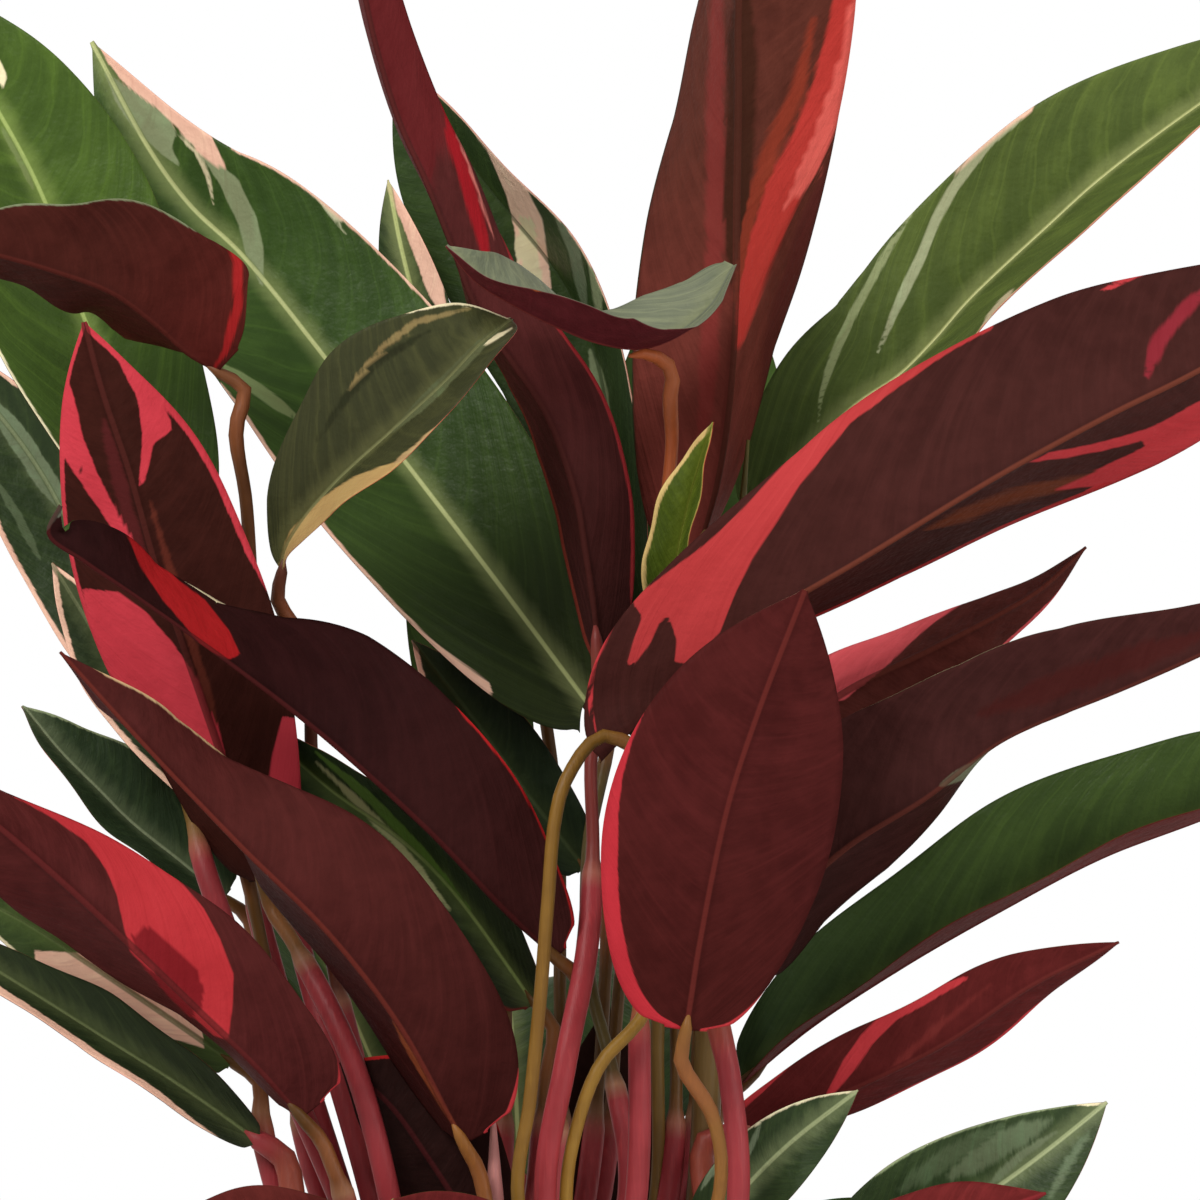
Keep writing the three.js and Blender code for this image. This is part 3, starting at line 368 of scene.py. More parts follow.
# What each blade looks like.  base: its colour.  line: its midrib.  low: the colour that it fades
# to near its base.  rear: the colour of its far side.  wave: how many millimetres its margin waves.
# patches: a colour and an outline on the elevation grid.  streaks: a colour, a width in grid
# squares and the line that it follows, tapered at both ends.  A patch or streak that ends with a
# number under 1 has soft borders.  edges: a colour, the side (-1 left or 1 right of the rib, seen
# from the blade's base with its front side up), where it starts and ends along the rib, and how
# many millimetres wide it is.
LOOKS = {
  "a1": {"base": (70, 28, 27), "line": (88, 32, 32), "wave": 1.6,
    "patches": [
      ((174, 48, 54), [(12, 796), (60, 806), (110, 830), (154, 856), (186, 888), (204, 908),
        (220, 938), (234, 975), (232, 1010), (228, 1040), (214, 1036), (190, 1014), (160, 984),
        (130, 952), (124, 926), (117, 895), (106, 870), (86, 842), (56, 820)]),
      ((120, 27, 33), [(126, 934), (146, 918), (166, 934), (186, 952), (202, 968), (210, 990),
        (207, 1016), (190, 1018), (168, 996), (148, 972), (130, 952)], 0.8)],
    "edges": [(PINK, 1, 0.0, 0.07, 3)]},
  "a2": {"base": (40, 50, 30), "line": (110, 120, 80), "low": (34, 40, 26), "wave": 1.5,
    "edges": [(SALMON, -1, 0.1, 0.95, 3.5)]},
  "a3": {"base": (56, 72, 40), "line": (90, 104, 62),
    "patches": [
      (SALMON, [(34, 950), (100, 954), (150, 985), (202, 1018), (204, 1048), (150, 1032),
        (90, 1002), (38, 978)])],
    "streaks": [
      ((120, 128, 100), 7, [(90, 972), (140, 998), (192, 1030)]),
      ((96, 108, 74), 6, [(112, 968), (156, 994), (198, 1022)])],
    "edges": [(CREAM, -1, 0.1, 0.9, 1)]},
  "a5": {"base": BURGUNDY, "line": RED_LINE},
  "a6": {"base": GREEN, "line": MOSS_LINE},
  "b1": {"base": (64, 86, 34), "line": (158, 176, 104), "low": (44, 62, 28), "wave": 1.6,
    "patches": [(CREAM, [(-5, 50), (8, 76), (3, 92), (-8, 70)])],
    "streaks": [((120, 138, 84), 9, [(2, 128), (22, 160), (34, 190)])],
    "edges": [(CREAM, -1, 0.1, 0.6, 0.8), (SALMON, -1, 0.6, 0.95, 1.2)]},
  "b2": {"base": (46, 60, 36), "line": (130, 140, 104), "low": (40, 52, 34),
    "streaks": [
      ((116, 132, 102), 22, [(-8, 400), (24, 446), (50, 486), (68, 514)]),
      ((84, 98, 70), 9, [(-4, 480), (20, 520), (40, 560)])],
    "edges": [(SALMON, -1, 0.0, 0.8, 1.6), (SALMON, 1, 0.2, 0.9, 1.4)]},
  "b3": {"base": (61, 26, 21), "line": (78, 32, 27), "low": (76, 28, 24), "wave": 1.6,
    "streaks": [
      ((150, 33, 34), 10, [(192, 206), (224, 228), (238, 262), (238, 306), (226, 350), (212, 372)],
        0.6),
      ((92, 42, 33), 9, [(40, 306), (90, 328), (150, 350), (196, 374)])],
    "edges": [((120, 130, 100), 1, 0.3, 0.95, 0.6)]},
  "b4": {"base": (52, 23, 18), "line": (74, 33, 29), "wave": 1.2,
    "patches": [
      (BRIGHT_PINK, [(50, 380), (58, 352), (74, 396), (84, 440), (100, 478), (118, 512), (140, 548),
        (132, 560), (96, 505), (72, 470), (54, 440)]),
      ((66, 28, 27), [(69, 440), (76, 446), (86, 470), (98, 494), (106, 514), (92, 498),
        (76, 472)]),
      (BRIGHT_PINK, [(104, 336), (126, 346), (150, 376), (171, 420), (172, 430), (154, 444),
        (145, 482), (139, 486), (142, 438), (138, 400), (124, 372)]),
      (BRIGHT_PINK, [(84, 588), (118, 592), (146, 612), (174, 644), (200, 682), (218, 724),
        (228, 764), (180, 766), (140, 732), (106, 690), (90, 640)]),
      (BRIGHT_PINK, [(282, 716), (306, 720), (304, 796), (266, 800), (272, 756)])],
    "streaks": [
      ((92, 42, 32), 10, [(150, 500), (176, 590), (206, 690), (226, 772)], 0.5),
      ((78, 30, 30), 16, [(104, 420), (124, 500), (150, 590)], 0.4)],
    "edges": [(BRIGHT_PINK, 1, 0.45, 1, 2.4), (BRIGHT_PINK, -1, 0.42, 1, 1.6)]},
  "b5": {"base": (44, 54, 36), "line": (110, 116, 84),
    "edges": [(SALMON, -1, 0, 1, 1.8), (SALMON, 1, 0, 1, 1.4)]},
  "b6": {"base": (58, 60, 38), "line": (122, 124, 84), "low": (54, 56, 34), "wave": 0.8,
    "streaks": [
      ((138, 122, 80), 7, [(338, 408), (360, 374), (384, 346), (416, 322), (470, 308)], 0.7),
      ((192, 160, 104), 19, [(276, 582), (298, 536), (328, 504), (360, 484), (404, 462)]),
      ((182, 152, 108), 7, [(388, 470), (416, 448), (446, 420)]),
      ((44, 48, 28), 9, [(318, 440), (344, 400), (380, 360), (430, 330)], 0.5),
      ((96, 104, 72), 12, [(392, 432), (430, 396), (470, 356), (500, 326)]),
      (CREAM, 5, [(448, 378), (474, 350), (498, 336), (512, 328)])],
    "edges": [(CREAM, -1, 0.8, 1, 1)]},
  "b7": {"base": (42, 56, 36), "line": (130, 140, 110),
    "edges": [(SILVER, 1, 0.3, 1, 0.8)]},
  "c1": {"base": (36, 14, 14), "line": (66, 23, 23), "low": (58, 26, 25), "wave": 1.2,
    "patches": [
      ((150, 27, 30), [(124, 530), (150, 554), (179, 580), (205, 600), (229, 630), (240, 654),
        (230, 660), (205, 650), (186, 628), (164, 602), (142, 570)])],
    "streaks": [((92, 96, 84), 12, [(40, 536), (52, 514), (84, 500)])],
    "edges": [(RED, 1, 0.0, 0.36, 0.8)]},
  "c2": {"base": (67, 28, 26), "line": (98, 40, 33), "low": (56, 22, 20), "wave": 1.6,
    "streaks": [((140, 72, 44), 6, [(392, 1020), (420, 1070), (464, 1140)])],
    "edges": [((190, 160, 120), 1, 0.7, 0.95, 0.7), (PINK, 1, 0.0, 0.1, 1.4)]},
  "c3": {"base": (40, 54, 28), "line": (128, 142, 84), "low": (36, 40, 26),
    "streaks": [
      ((92, 126, 52), 10, [(316, 752), (372, 800), (420, 850), (470, 910)]),
      ((178, 180, 130), 9, [(316, 762), (352, 796), (400, 846), (450, 910)], 0.7)],
    "edges": [((110, 40, 36), -1, 0, 1, 1.2)]},
  # Painted shade: c4 is coloured far darker than the other burgundy undersides, for the deep shade
  # it sits in low among the stalks.
  "c4": {"base": (38, 20, 18), "line": (70, 26, 28),
    "edges": [(RED, 1, 0.3, 1, 1.4)]},
  "c5": {"base": (90, 30, 30), "line": RED_LINE},
  "d1": {"base": (54, 76, 34), "line": (182, 190, 132), "low": (39, 46, 25), "wave": 1,
    "patches": [
      (SILVER, [(104, 70), (124, 84), (142, 96), (168, 118), (177, 132), (172, 148), (180, 166),
        (160, 154), (134, 130), (114, 100)]),
      (SALMON, [(92, 32), (112, 46), (150, 78), (185, 108), (212, 136), (226, 168), (211, 168),
        (194, 148), (170, 120), (142, 98), (124, 84), (108, 64)]),
      (SALMON, [(410, 624), (424, 632), (442, 648), (464, 664), (490, 682), (494, 696), (468, 690),
        (444, 674), (422, 654)])],
    "streaks": [
      ((214, 208, 170), 5, [(178, 134), (196, 152), (208, 176), (214, 206)]),
      (SILVER, 19, [(206, 158), (230, 184), (248, 222), (262, 284)]),
      ((200, 204, 168), 5, [(304, 186), (324, 204), (346, 234)]),
      ((122, 140, 92), 13, [(216, 362), (258, 390), (300, 420)])],
    "edges": [(SALMON, -1, 0.1, 0.55, 1.2), (SALMON, 1, 0.4, 0.78, 0.8)]},
  "d3": {"base": (44, 60, 34), "line": MOSS_LINE,
    "streaks": [(SALMON, 18, [(380, 160), (404, 206), (424, 256), (448, 326)])]},
  "d4": {"base": (48, 66, 34), "line": (58, 74, 42), "low": (40, 54, 32),
    "patches": [
      # Painted light: this salmon patch is painted lighter than SALMON, against the shade that d4
      # sits in.
      ((255, 216, 190), [(455, 100), (469, 104), (498, 148), (522, 180), (543, 220), (552, 290),
        (519, 290), (514, 225), (506, 196), (487, 152), (466, 120)]),
      ((240, 232, 190), [(516, 211), (538, 215), (548, 290), (524, 290), (514, 250)])],
    "streaks": [
      (SILVER, 10, [(566, 212), (592, 262), (602, 330)]),
      (SILVER, 12, [(590, 350), (602, 392), (606, 430)]),
      ((110, 124, 96), 12, [(552, 200), (574, 250), (586, 310)])],
    "edges": [(SALMON, 1, 0.3, 1, 1)]},
  "d5": {"base": (28, 38, 24), "line": (56, 66, 40),
    "edges": [(SALMON, -1, 0.7, 1, 2)]},
  "e1": {"base": (86, 44, 35), "line": (66, 34, 26), "low": (112, 50, 44), "wave": 1.2,
    # Painted light: the coral patch, the coral streak and the orange-brown streak are a pink sector
    # with the glow of light shining through the leaf painted over it.
    "patches": [
      ((188, 60, 54), [(836, -12), (868, -12), (850, 80), (834, 130), (812, 175), (790, 225),
        (764, 284), (744, 340), (735, 352), (736, 300), (746, 244), (764, 190), (790, 140),
        (812, 84)], 0.45)],
    "streaks": [
      (CORAL, 28, [(866, -60), (848, 50), (830, 110), (806, 166), (770, 236)], 0.6),
      ((138, 56, 40), 18, [(814, 20), (798, 90), (770, 150), (748, 220), (736, 300)], 0.3),
      ((64, 35, 25), 30, [(744, -40), (742, 60), (739, 150), (735, 220), (731, 280)], 0.3),
      ((122, 50, 46), 20, [(716, -60), (716, 120), (715, 240), (708, 380), (696, 500)], 0.3),
      ((92, 42, 38), 34, [(836, 160), (810, 240), (786, 320), (764, 420)], 0.3)],
    "edges": [((50, 60, 40), -1, 0.1, 0.9, 0.5)]},
  "e3": {"base": (66, 80, 24), "line": (104, 112, 40),
    "edges": [((206, 178, 116), -1, 0, 1, 1.4), ((150, 140, 70), 1, 0, 1, 0.6)]},
  "e4": {"base": (42, 24, 20), "line": (62, 32, 28), "wave": 0.8},
  "f1": {"base": (61, 31, 28), "line": (112, 58, 44), "low": (60, 29, 26), "wave": 1.4,
    "patches": [
      ((178, 58, 60), [(630, 600), (676, 566), (700, 548), (740, 512), (800, 446), (850, 400),
        (900, 368), (950, 340), (990, 320), (994, 328), (950, 352), (900, 386), (850, 424),
        (800, 486), (776, 524), (752, 560), (736, 592), (720, 632), (690, 664), (674, 662),
        (676, 640), (668, 614), (660, 622), (650, 644), (634, 666), (627, 664), (634, 640),
        (642, 616)]),
      (PINK, [(1024, 464), (1050, 452), (1100, 442), (1150, 428), (1212, 394), (1216, 440),
        (1176, 462), (1130, 484), (1090, 502), (1040, 522), (1018, 528), (1040, 511), (1070, 500),
        (1104, 486), (1080, 488), (1046, 493), (1060, 484), (1084, 476), (1110, 463), (1146, 446),
        (1142, 441), (1100, 452), (1060, 459)])],
    "streaks": [
      (PINK, 6, [(614, 622), (597, 656), (590, 684), (591, 710), (597, 740)]),
      ((190, 62, 68), 9, [(1098, 294), (1130, 276), (1160, 262), (1210, 244)]),
      ((132, 40, 50), 17, [(1146, 376), (1160, 340), (1182, 312), (1210, 286)], 0.4),
      ((106, 52, 32), 15, [(926, 530), (1000, 500), (1056, 486), (1094, 474)], 0.35)],
    "edges": [((184, 44, 48), 1, 0.1, 0.7, 3.2)]},
  "f2": {"base": (68, 25, 24), "line": (96, 38, 34), "low": (62, 22, 20), "wave": 1,
    "edges": [((178, 46, 56), -1, 0.0, 0.64, 5.4), (PINK, 1, 0.0, 0.12, 3)]},
  "f3": {"base": (78, 35, 34), "line": (68, 31, 28), "low": (46, 23, 21), "wave": 0.8,
    "patches": [
      ((98, 34, 36), [(330, -120), (430, -120), (446, 60), (452, 118), (430, 200), (396, 150),
        (366, 50)], 0.15)],
    "streaks": [
      ((150, 28, 36), 14, [(440, 96), (462, 168), (482, 236), (490, 280)], 0.5),
      ((206, 120, 112), 3, [(450, 116), (474, 180), (496, 244)])],
    "edges": [((150, 46, 50), 1, 0.05, 0.5, 1.5), ((116, 48, 38), -1, 0.0, 0.6, 2.8)]},
  # Painted light: f4's pink patch and edge are painted lighter than PINK, against the leaf's shade.
  "f4": {"base": (84, 40, 35), "line": (96, 46, 38), "wave": 1,
    "patches": [
      (PINK_WITH_PAINTED_LIGHT, [(818, 656), (860, 626), (900, 610), (950, 594), (992, 584), (950, 612),
        (935, 622), (908, 645), (880, 672), (844, 700), (818, 706)])],
    "edges": [(PINK_WITH_PAINTED_LIGHT, 1, 0.5, 0.92, 1.8)]},
  "f5": {"base": (86, 32, 36), "line": (116, 50, 46), "rear": (110, 116, 98), "wave": 0.6,
    "streaks": [((176, 96, 50), 12, [(528, 286), (556, 286)])]},
  "g3": {"base": (54, 72, 32), "line": (92, 104, 56), "low": (32, 46, 24), "wave": 1.2,
    "rear": (88, 30, 27),
    "streaks": [((76, 98, 44), 16, [(960, 944), (1040, 892), (1110, 856), (1190, 826)])],
    "edges": [((96, 44, 40), 1, 0, 1, 0.8)]},
  "g4": {"base": (80, 95, 47), "line": (200, 204, 148), "low": (76, 90, 50), "wave": 1.4,
    "patches": [
      (SALMON, [(952, 174), (975, 150), (1000, 126), (1036, 102), (1036, 110), (1006, 132),
        (984, 152), (964, 172)])],
    "streaks": [
      ((152, 164, 118), 9, [(818, 424), (822, 392), (833, 358), (848, 324), (866, 290), (890, 246),
        (914, 208)]),
      ((168, 176, 138), 11, [(878, 352), (892, 318), (906, 288), (922, 254), (936, 220), (952, 190),
        (970, 166), (992, 142), (1020, 120)]),
      ((122, 138, 100), 10, [(980, 330), (1040, 275), (1090, 238), (1150, 190)]),
      ((200, 190, 156), 7, [(980, 330), (998, 306), (1014, 288)])],
    "edges": [((206, 150, 120), 1, 0.15, 0.95, 0.9)]},
  "g5": {"base": GREEN, "line": MOSS_LINE},
  "h1": {"base": (84, 30, 29), "line": (98, 40, 37), "wave": 1,
    "streaks": [
      (PINK, 15, [(822, 1106), (846, 1070), (866, 1040), (892, 1014), (926, 996), (966, 978)]),
      ((110, 42, 40), 8, [(880, 1080), (930, 1034), (990, 984)], 0.4)],
    "edges": [(PINK, -1, 0.0, 0.2, 1.8), (PINK, 1, 0.3, 0.8, 1.3)]},
  "h2": {"base": (46, 60, 36), "line": (158, 168, 126),
    "edges": [(CREAM, -1, 0.5, 1, 0.8)],
    "streaks": [
      ((122, 136, 108), 7, [(700, 1190), (720, 1160), (746, 1130)]),
      ((110, 124, 98), 6, [(730, 1180), (750, 1150), (762, 1120)])]},
  "h3": {"base": (48, 62, 38), "line": (158, 168, 126),
    "streaks": [
      ((96, 110, 82), 24, [(950, 1176), (1000, 1144), (1050, 1120)], 0.3),
      ((112, 126, 96), 8, [(984, 1190), (1020, 1156), (1056, 1132)], 0.6),
      ((78, 94, 66), 20, [(900, 1190), (950, 1156), (1000, 1126)], 0.3),
      ((96, 112, 84), 9, [(1050, 1196), (1070, 1160), (1090, 1130)], 0.4)],
    "edges": [(SILVER, -1, 0.3, 0.95, 0.6), (CREAM, -1, 0.9, 1, 2)]},
  "h4": {"base": (100, 34, 34), "line": (130, 42, 46),
    "edges": [(PINK, 1, 0.2, 0.9, 2)]},
  "h5": {"base": (60, 31, 29), "line": (84, 40, 33), "low": (40, 20, 18), "wave": 1.4,
    "streaks": [
      ((112, 114, 92), 12, [(940, 786), (980, 764), (1012, 742)]),
      ((68, 29, 27), 26, [(980, 714), (1060, 684), (1140, 657), (1210, 632)], 0.25)]},
}

# The colours of each stalk: its sheath, its petiole, and the row where the sheath ends.
STALKS = {
    "default": (ROSE, OLIVE, 1120),
    "a1": (ROSE, OLIVE, 1190),
    "b1": (ROSE, (86, 66, 34), 900),
    "b2": (ROSE, (112, 86, 42), 842),
    "b3": (ROSE, (108, 66, 38), 920),
    "b4": (ROSE, (104, 80, 38), 960),
    "b6": (ROSE, (98, 54, 40), 1000),
    "c1": (ROSE, OLIVE, 1130),
    "c2": (ROSE, (146, 96, 44), 1300),
    "d1": (ROSE, (84, 70, 36), 1085),
    "e1": ((116, 88, 42), (108, 82, 40), 1290),
    "f1": ((100, 70, 30), (124, 90, 34), 1290),
    "f2": ((118, 82, 36), (128, 86, 40), 1290),
    "f3": ((158, 54, 60), (120, 50, 46), 870),
    "f4": ((104, 78, 34), (146, 110, 44), 1290),
    # Painted light: f5's petiole is painted lighter, as it looks where lit, though its blade shades
    # it.
    "f5": (ROSE, (160, 82, 44), 1020),
    "h5": (ROSE, (112, 64, 48), 985),
}

# ---------------------------------------------------------------- curves


def linear(colour):
    """An sRGB colour of 0 to 255 as linear light."""
    share = np.array(colour, float) / 255
    return np.where(share <= 0.04045, share / 12.92, ((share + 0.055) / 1.055) ** 2.4)


class Curve:
    """A centripetal Catmull-Rom curve, read by its share of the length, like the CAD part's."""

    def __init__(self, points):
        self.points = [np.array(p, float) for p in points]
        shares = np.linspace(0, 1, 401)
        self.dense = np.array([self._raw(share) for share in shares])
        steps = np.linalg.norm(np.diff(self.dense, axis=0), axis=1)
        self.reached = np.concatenate([[0], np.cumsum(steps)])
        self.length = self.reached[-1]

    def _raw(self, share):
        """The point at a share of the table's points, before the lengths are known."""
        points = self.points
        at = share * (len(points) - 1)
        low = min(int(at), len(points) - 2)
        weight = at - low
        one, two = points[low], points[low + 1]
        before = points[low - 1] if low > 0 else 2 * points[0] - points[1]
        after = points[low + 2] if low + 2 < len(points) else 2 * points[-1] - points[-2]
        gaps = [max(np.linalg.norm(b - a) ** 0.5, 1e-4)
                for a, b in ((before, one), (one, two), (two, after))]
        leave = ((one - before) / gaps[0] - (two - before) / (gaps[0] + gaps[1])
                 + (two - one) / gaps[1]) * gaps[1]
        arrive = ((two - one) / gaps[1] - (after - one) / (gaps[1] + gaps[2])
                  + (after - two) / gaps[2]) * gaps[1]
        c2 = -3 * one + 3 * two - 2 * leave - arrive
        c3 = 2 * one - 2 * two + leave + arrive
        return one + leave * weight + c2 * weight ** 2 + c3 * weight ** 3

    def at(self, share):
        """Points at shares of the length, as an array."""
        wanted = np.clip(np.asarray(share, float), 0, 1) * self.length
        return np.stack([np.interp(wanted, self.reached, self.dense[:, k]) for k in range(3)], -1)

    def along(self, share):
        """Unit tangents at shares of the length."""
        share = np.asarray(share, float)
        ahead = self.at(np.minimum(share + 0.004, 1)) - self.at(np.maximum(share - 0.004, 0))
        return ahead / np.linalg.norm(ahead, axis=-1, keepdims=True)


def series(values, share):
    """A short list of values, spread evenly from base to tip, read at shares of the length."""
    values = np.atleast_1d(values)
    return np.interp(share, np.linspace(0, 1, len(values)), values) if len(values) > 1 \
        else np.full_like(np.asarray(share, float), values[0])


def mesh_object(name, points, faces):
    """A mesh object from points in millimetres, riding on the plant's one body."""
    mesh = bpy.data.meshes.new(name)
    mesh.from_pydata((np.asarray(points) * MM).tolist(), [], faces)
    mesh.update()
    mesh.shade_smooth()
    thing = bpy.data.objects.new(name, mesh)
    bpy.context.scene.collection.objects.link(thing)
    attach(thing, "root")
    return thing


def paint(thing, name, colours):
    """Gives every vertex a colour, from linear light in an array."""
    layer = thing.data.color_attributes.new(name, "FLOAT_COLOR", "POINT")
    full = np.ones((len(colours), 4))
    full[:, :3] = colours
    layer.data.foreach_set("color", full.ravel())


def weigh(thing, name, values):
    """Gives every vertex a number."""
    layer = thing.data.attributes.new(name, "FLOAT", "POINT")
    layer.data.foreach_set("value", np.asarray(values, float).ravel())


# ---------------------------------------------------------------- blades


def outline(share, leaf):
    """The blade's half width along its rib, from 0 to 1, as in the CAD part."""
    widest = (leaf["base"] / (leaf["base"] + leaf["full"])) ** (1 / leaf["full"])
    most = widest ** leaf["base"] * (1 - widest ** leaf["full"])
    return share ** leaf["base"] * (1 - share ** leaf["full"]) / most


def blade_frame(leaf, rib, share):
    """The way along the rib and the way the blade's upper side faces, at shares of the rib."""
    along = rib.along(np.clip(share, 0.004, 0.996))
    facing = np.array([0, 0, 1.0]) if leaf["up"] else np.array([0, -1.0, 0])
    ahead = facing - along * (along @ facing)[:, None]
    ahead /= np.linalg.norm(ahead, axis=1, keepdims=True)
    right = np.cross(along, ahead)
    turn = np.radians(series(leaf["roll"], share) + (180 if leaf["face"] == "under" else 0))
    return along, ahead * np.cos(turn)[:, None] + right * np.sin(turn)[:, None]


def blade_layers(leaf, rib, rows, columns, phase):
    """The blade's upper-side and under-side points, with each point's place along and across."""
    share = (np.arange(rows + 1) / rows) ** 1.15
    steps = np.arange(-columns, columns + 1) / columns
    side = np.sign(steps) * np.abs(steps) ** 1.25
    along, top = blade_frame(leaf, rib, share)
    across = np.cross(along, top)
    apart = np.abs(side)
    lift = np.radians(series(leaf["fold"], share)[:, None] + leaf["curl"] * apart)
    width = outline(np.clip(share, *NEAR_ENDS), leaf)
    reach = leaf["half"] * width[:, None] * apart
    near = np.clip(np.minimum(1 if leaf["cleft"] else share / 0.04, 1 - share / 0.3), 0, None)
    spread = width[:, None] ** (0.3 if leaf["cleft"] else 1)
    back = leaf["lobe"] * near[:, None] * apart ** 1.5 * spread
    calm = np.minimum(1, np.minimum(6 * share, 5 * (1 - share)))[:, None]
    swell = np.sin(2 * math.pi * leaf["waves"] * share[:, None] + np.sign(side) * 1.3 + phase)
    sway = leaf["wave"] * apart ** 2.2 * swell * calm
    # The lateral veins leave shallow pleats.
    pleats = PLEAT_HEIGHT * np.sin(2 * math.pi * vein_place(share[:, None], apart) * leaf["veins"])
    sway = sway + pleats * np.minimum(1, 4 * apart) * (1 - apart) * calm
    middle = (rib.at(share)[:, None]
              + across[:, None] * (np.sign(side) * reach * np.cos(lift))[..., None]
              + top[:, None] * (reach * np.sin(lift) + sway)[..., None]
              - along[:, None] * back[..., None])
    down = np.gradient(middle, axis=0)
    over = np.gradient(middle, axis=1)
    normal = np.cross(over, down)
    size = np.linalg.norm(normal, axis=2, keepdims=True)
    normal = np.where(size > 1e-6, normal / np.maximum(size, 1e-6), top[:, None])
    thick = BLADE_THICKNESS / 2 * (1 - 0.6 * apart ** 6)
    ridge = RIDGE_HEIGHT * (1 - share[:, None]) ** 0.7 * np.exp(-(reach / 1.1) ** 2) * (
        np.clip(share * 12, 0, 1)[:, None])
    upper = middle + normal * (thick - 0.35 * ridge)[..., None]
    lower = middle - normal * (thick + ridge)[..., None]
    grid_share = np.repeat(share[:, None], len(side), axis=1)
    grid_side = np.repeat(side[None], len(share), axis=0)
    return upper, lower, grid_share, grid_side, reach


def vein_place(share, apart):
    """Where along the rib the lateral vein through a point starts: veins sweep to the tip."""
    sweep = VEIN_SWEEP[0] * apart + VEIN_SWEEP[1] * apart ** 2
    return (share - sweep) / (1 - sweep)


def polygon_depth(columns, rows, corners):
    """How deep points are inside an outline, in millimetres; negative outside."""
    inside = np.zeros(columns.shape, bool)
    nearest = np.full(columns.shape, 1e9)
    for (ax, ay), (bx, by) in zip(corners, corners[1:] + corners[:1]):
        dx, dy = bx - ax, by - ay
        share = ((columns - ax) * dx + (rows - ay) * dy) / (dx * dx + dy * dy)
        share = np.clip(share, 0, 1)
        nearest = np.minimum(nearest, np.hypot(columns - ax - share * dx, rows - ay - share * dy))
        if ay != by:
            crossing = (ay > rows) != (by > rows)
            inside ^= crossing & (columns < ax + (rows - ay) * dx / dy)
    return np.where(inside, nearest, -nearest) * GRID


def streak_depth(columns, rows, wide, line):
    """How deep points are inside a tapered streak along a line, in millimetres."""
    lengths = [math.hypot(bx - ax, by - ay) for (ax, ay), (bx, by) in zip(line, line[1:])]
    whole, passed = sum(lengths), 0
    deepest = np.full(columns.shape, -1e9)
    for (ax, ay), (bx, by), length in zip(line, line[1:], lengths):
        share = ((columns - ax) * (bx - ax) + (rows - ay) * (by - ay)) / length ** 2
        share = np.clip(share, 0, 1)
        away = np.hypot(columns - ax - share * (bx - ax), rows - ay - share * (by - ay))
        reached = (passed + share * length) / whole
        half = wide / 2 * np.clip(0.3 + 2.8 * np.minimum(reached, 1 - reached), 0, 1)
        deepest = np.maximum(deepest, half - away)
        passed += length
    return deepest * GRID


def front_marks(leaf, look, points, share, side, reach, length):
    """The marks of the side that is turned to the front: (colour, depth) pairs."""
    columns, rows = on_grid(points)
    marks = [(colour, polygon_depth(columns, rows, corners) * (soft[0] if soft else 1))
             for colour, corners, *soft in look.get("patches", [])]
    marks += [(colour, streak_depth(columns, rows, wide, line) * (soft[0] if soft else 1))
              for colour, wide, line, *soft in look.get("streaks", [])]
    width = leaf["half"] * outline(np.clip(share, *NEAR_ENDS), leaf)
    sense = -1 if leaf["face"] == "under" else 1
    for colour, where, start, end, wide in look.get("edges", []):
        from_start = (share - start) * length if start > 0 else np.full_like(share, 99)
        from_end = (end - share) * length if end < 1 else np.full_like(share, 99)
        taper = np.clip(np.minimum(from_start, from_end) / (7 * wide), 0, 1)
        deep = wide * taper - (width - reach) - 1.2 * (taper == 0)
        marks.append((colour, np.where(side * sense * where > 0, deep, -5)))
    return marks


def hidden_marks(leaf, share, side, length, dice, colours):
    """The marks of a side that the table doesn't describe: sectors between the veins."""
    apart = np.abs(side)
    place_on = vein_place(share, apart)
    marks = []
    for _ in range(dice.randint(2, 4)):
        where = dice.choice((-1, 1))
        start = dice.uniform(0.02, 0.8)
        end = start + dice.uniform(0.03, 0.2)
        inner = dice.choice((0.0, 0.0, 0.3, 0.6))
        outer = dice.choice((1.1, 1.1, 0.55))
        deep = np.minimum(np.minimum(place_on - start, end - place_on) * length,
                          np.minimum(apart - inner, outer - apart) * leaf["half"])
        marks.append((dice.choice(colours), np.where(side * where > 0, deep, -5)))
    edge = dice.uniform(1, 2.5) - (1 - apart) * leaf["half"] * 0.8
    marks.append((colours[0], np.where(side > 0, edge, -5)))
    return marks


def blend_marks(marks, shape):
    """The strongest mark's colour and depth at every point."""
    depth = np.full(shape, -9.0)
    tint = np.zeros(shape + (3,))
    for colour, deep in marks:
        stronger = deep > np.minimum(depth, 1.5)
        depth = np.where(stronger, deep, depth)
        tint = np.where(stronger[..., None], linear(colour), tint)
    return tint, depth


def closed_shell(upper, lower):
    """The points and faces between two sheets of points, and how many faces the upper one has."""
    rows, columns = upper.shape[:2]
    count = rows * columns
    at = np.arange(count).reshape(rows, columns)
    quads = np.stack([at[:-1, :-1], at[:-1, 1:], at[1:, 1:], at[1:, :-1]], -1).reshape(-1, 4)
    loop = np.concatenate([at[0, :-1], at[:-1, -1], at[-1, :0:-1], at[:0:-1, 0]])
    following = np.roll(loop, -1)
    rim = np.stack([following, loop, loop + count, following + count], -1)
    faces = np.concatenate([quads, quads[:, ::-1] + count, rim])
    return np.concatenate([upper.reshape(-1, 3), lower.reshape(-1, 3)]), faces, len(quads)


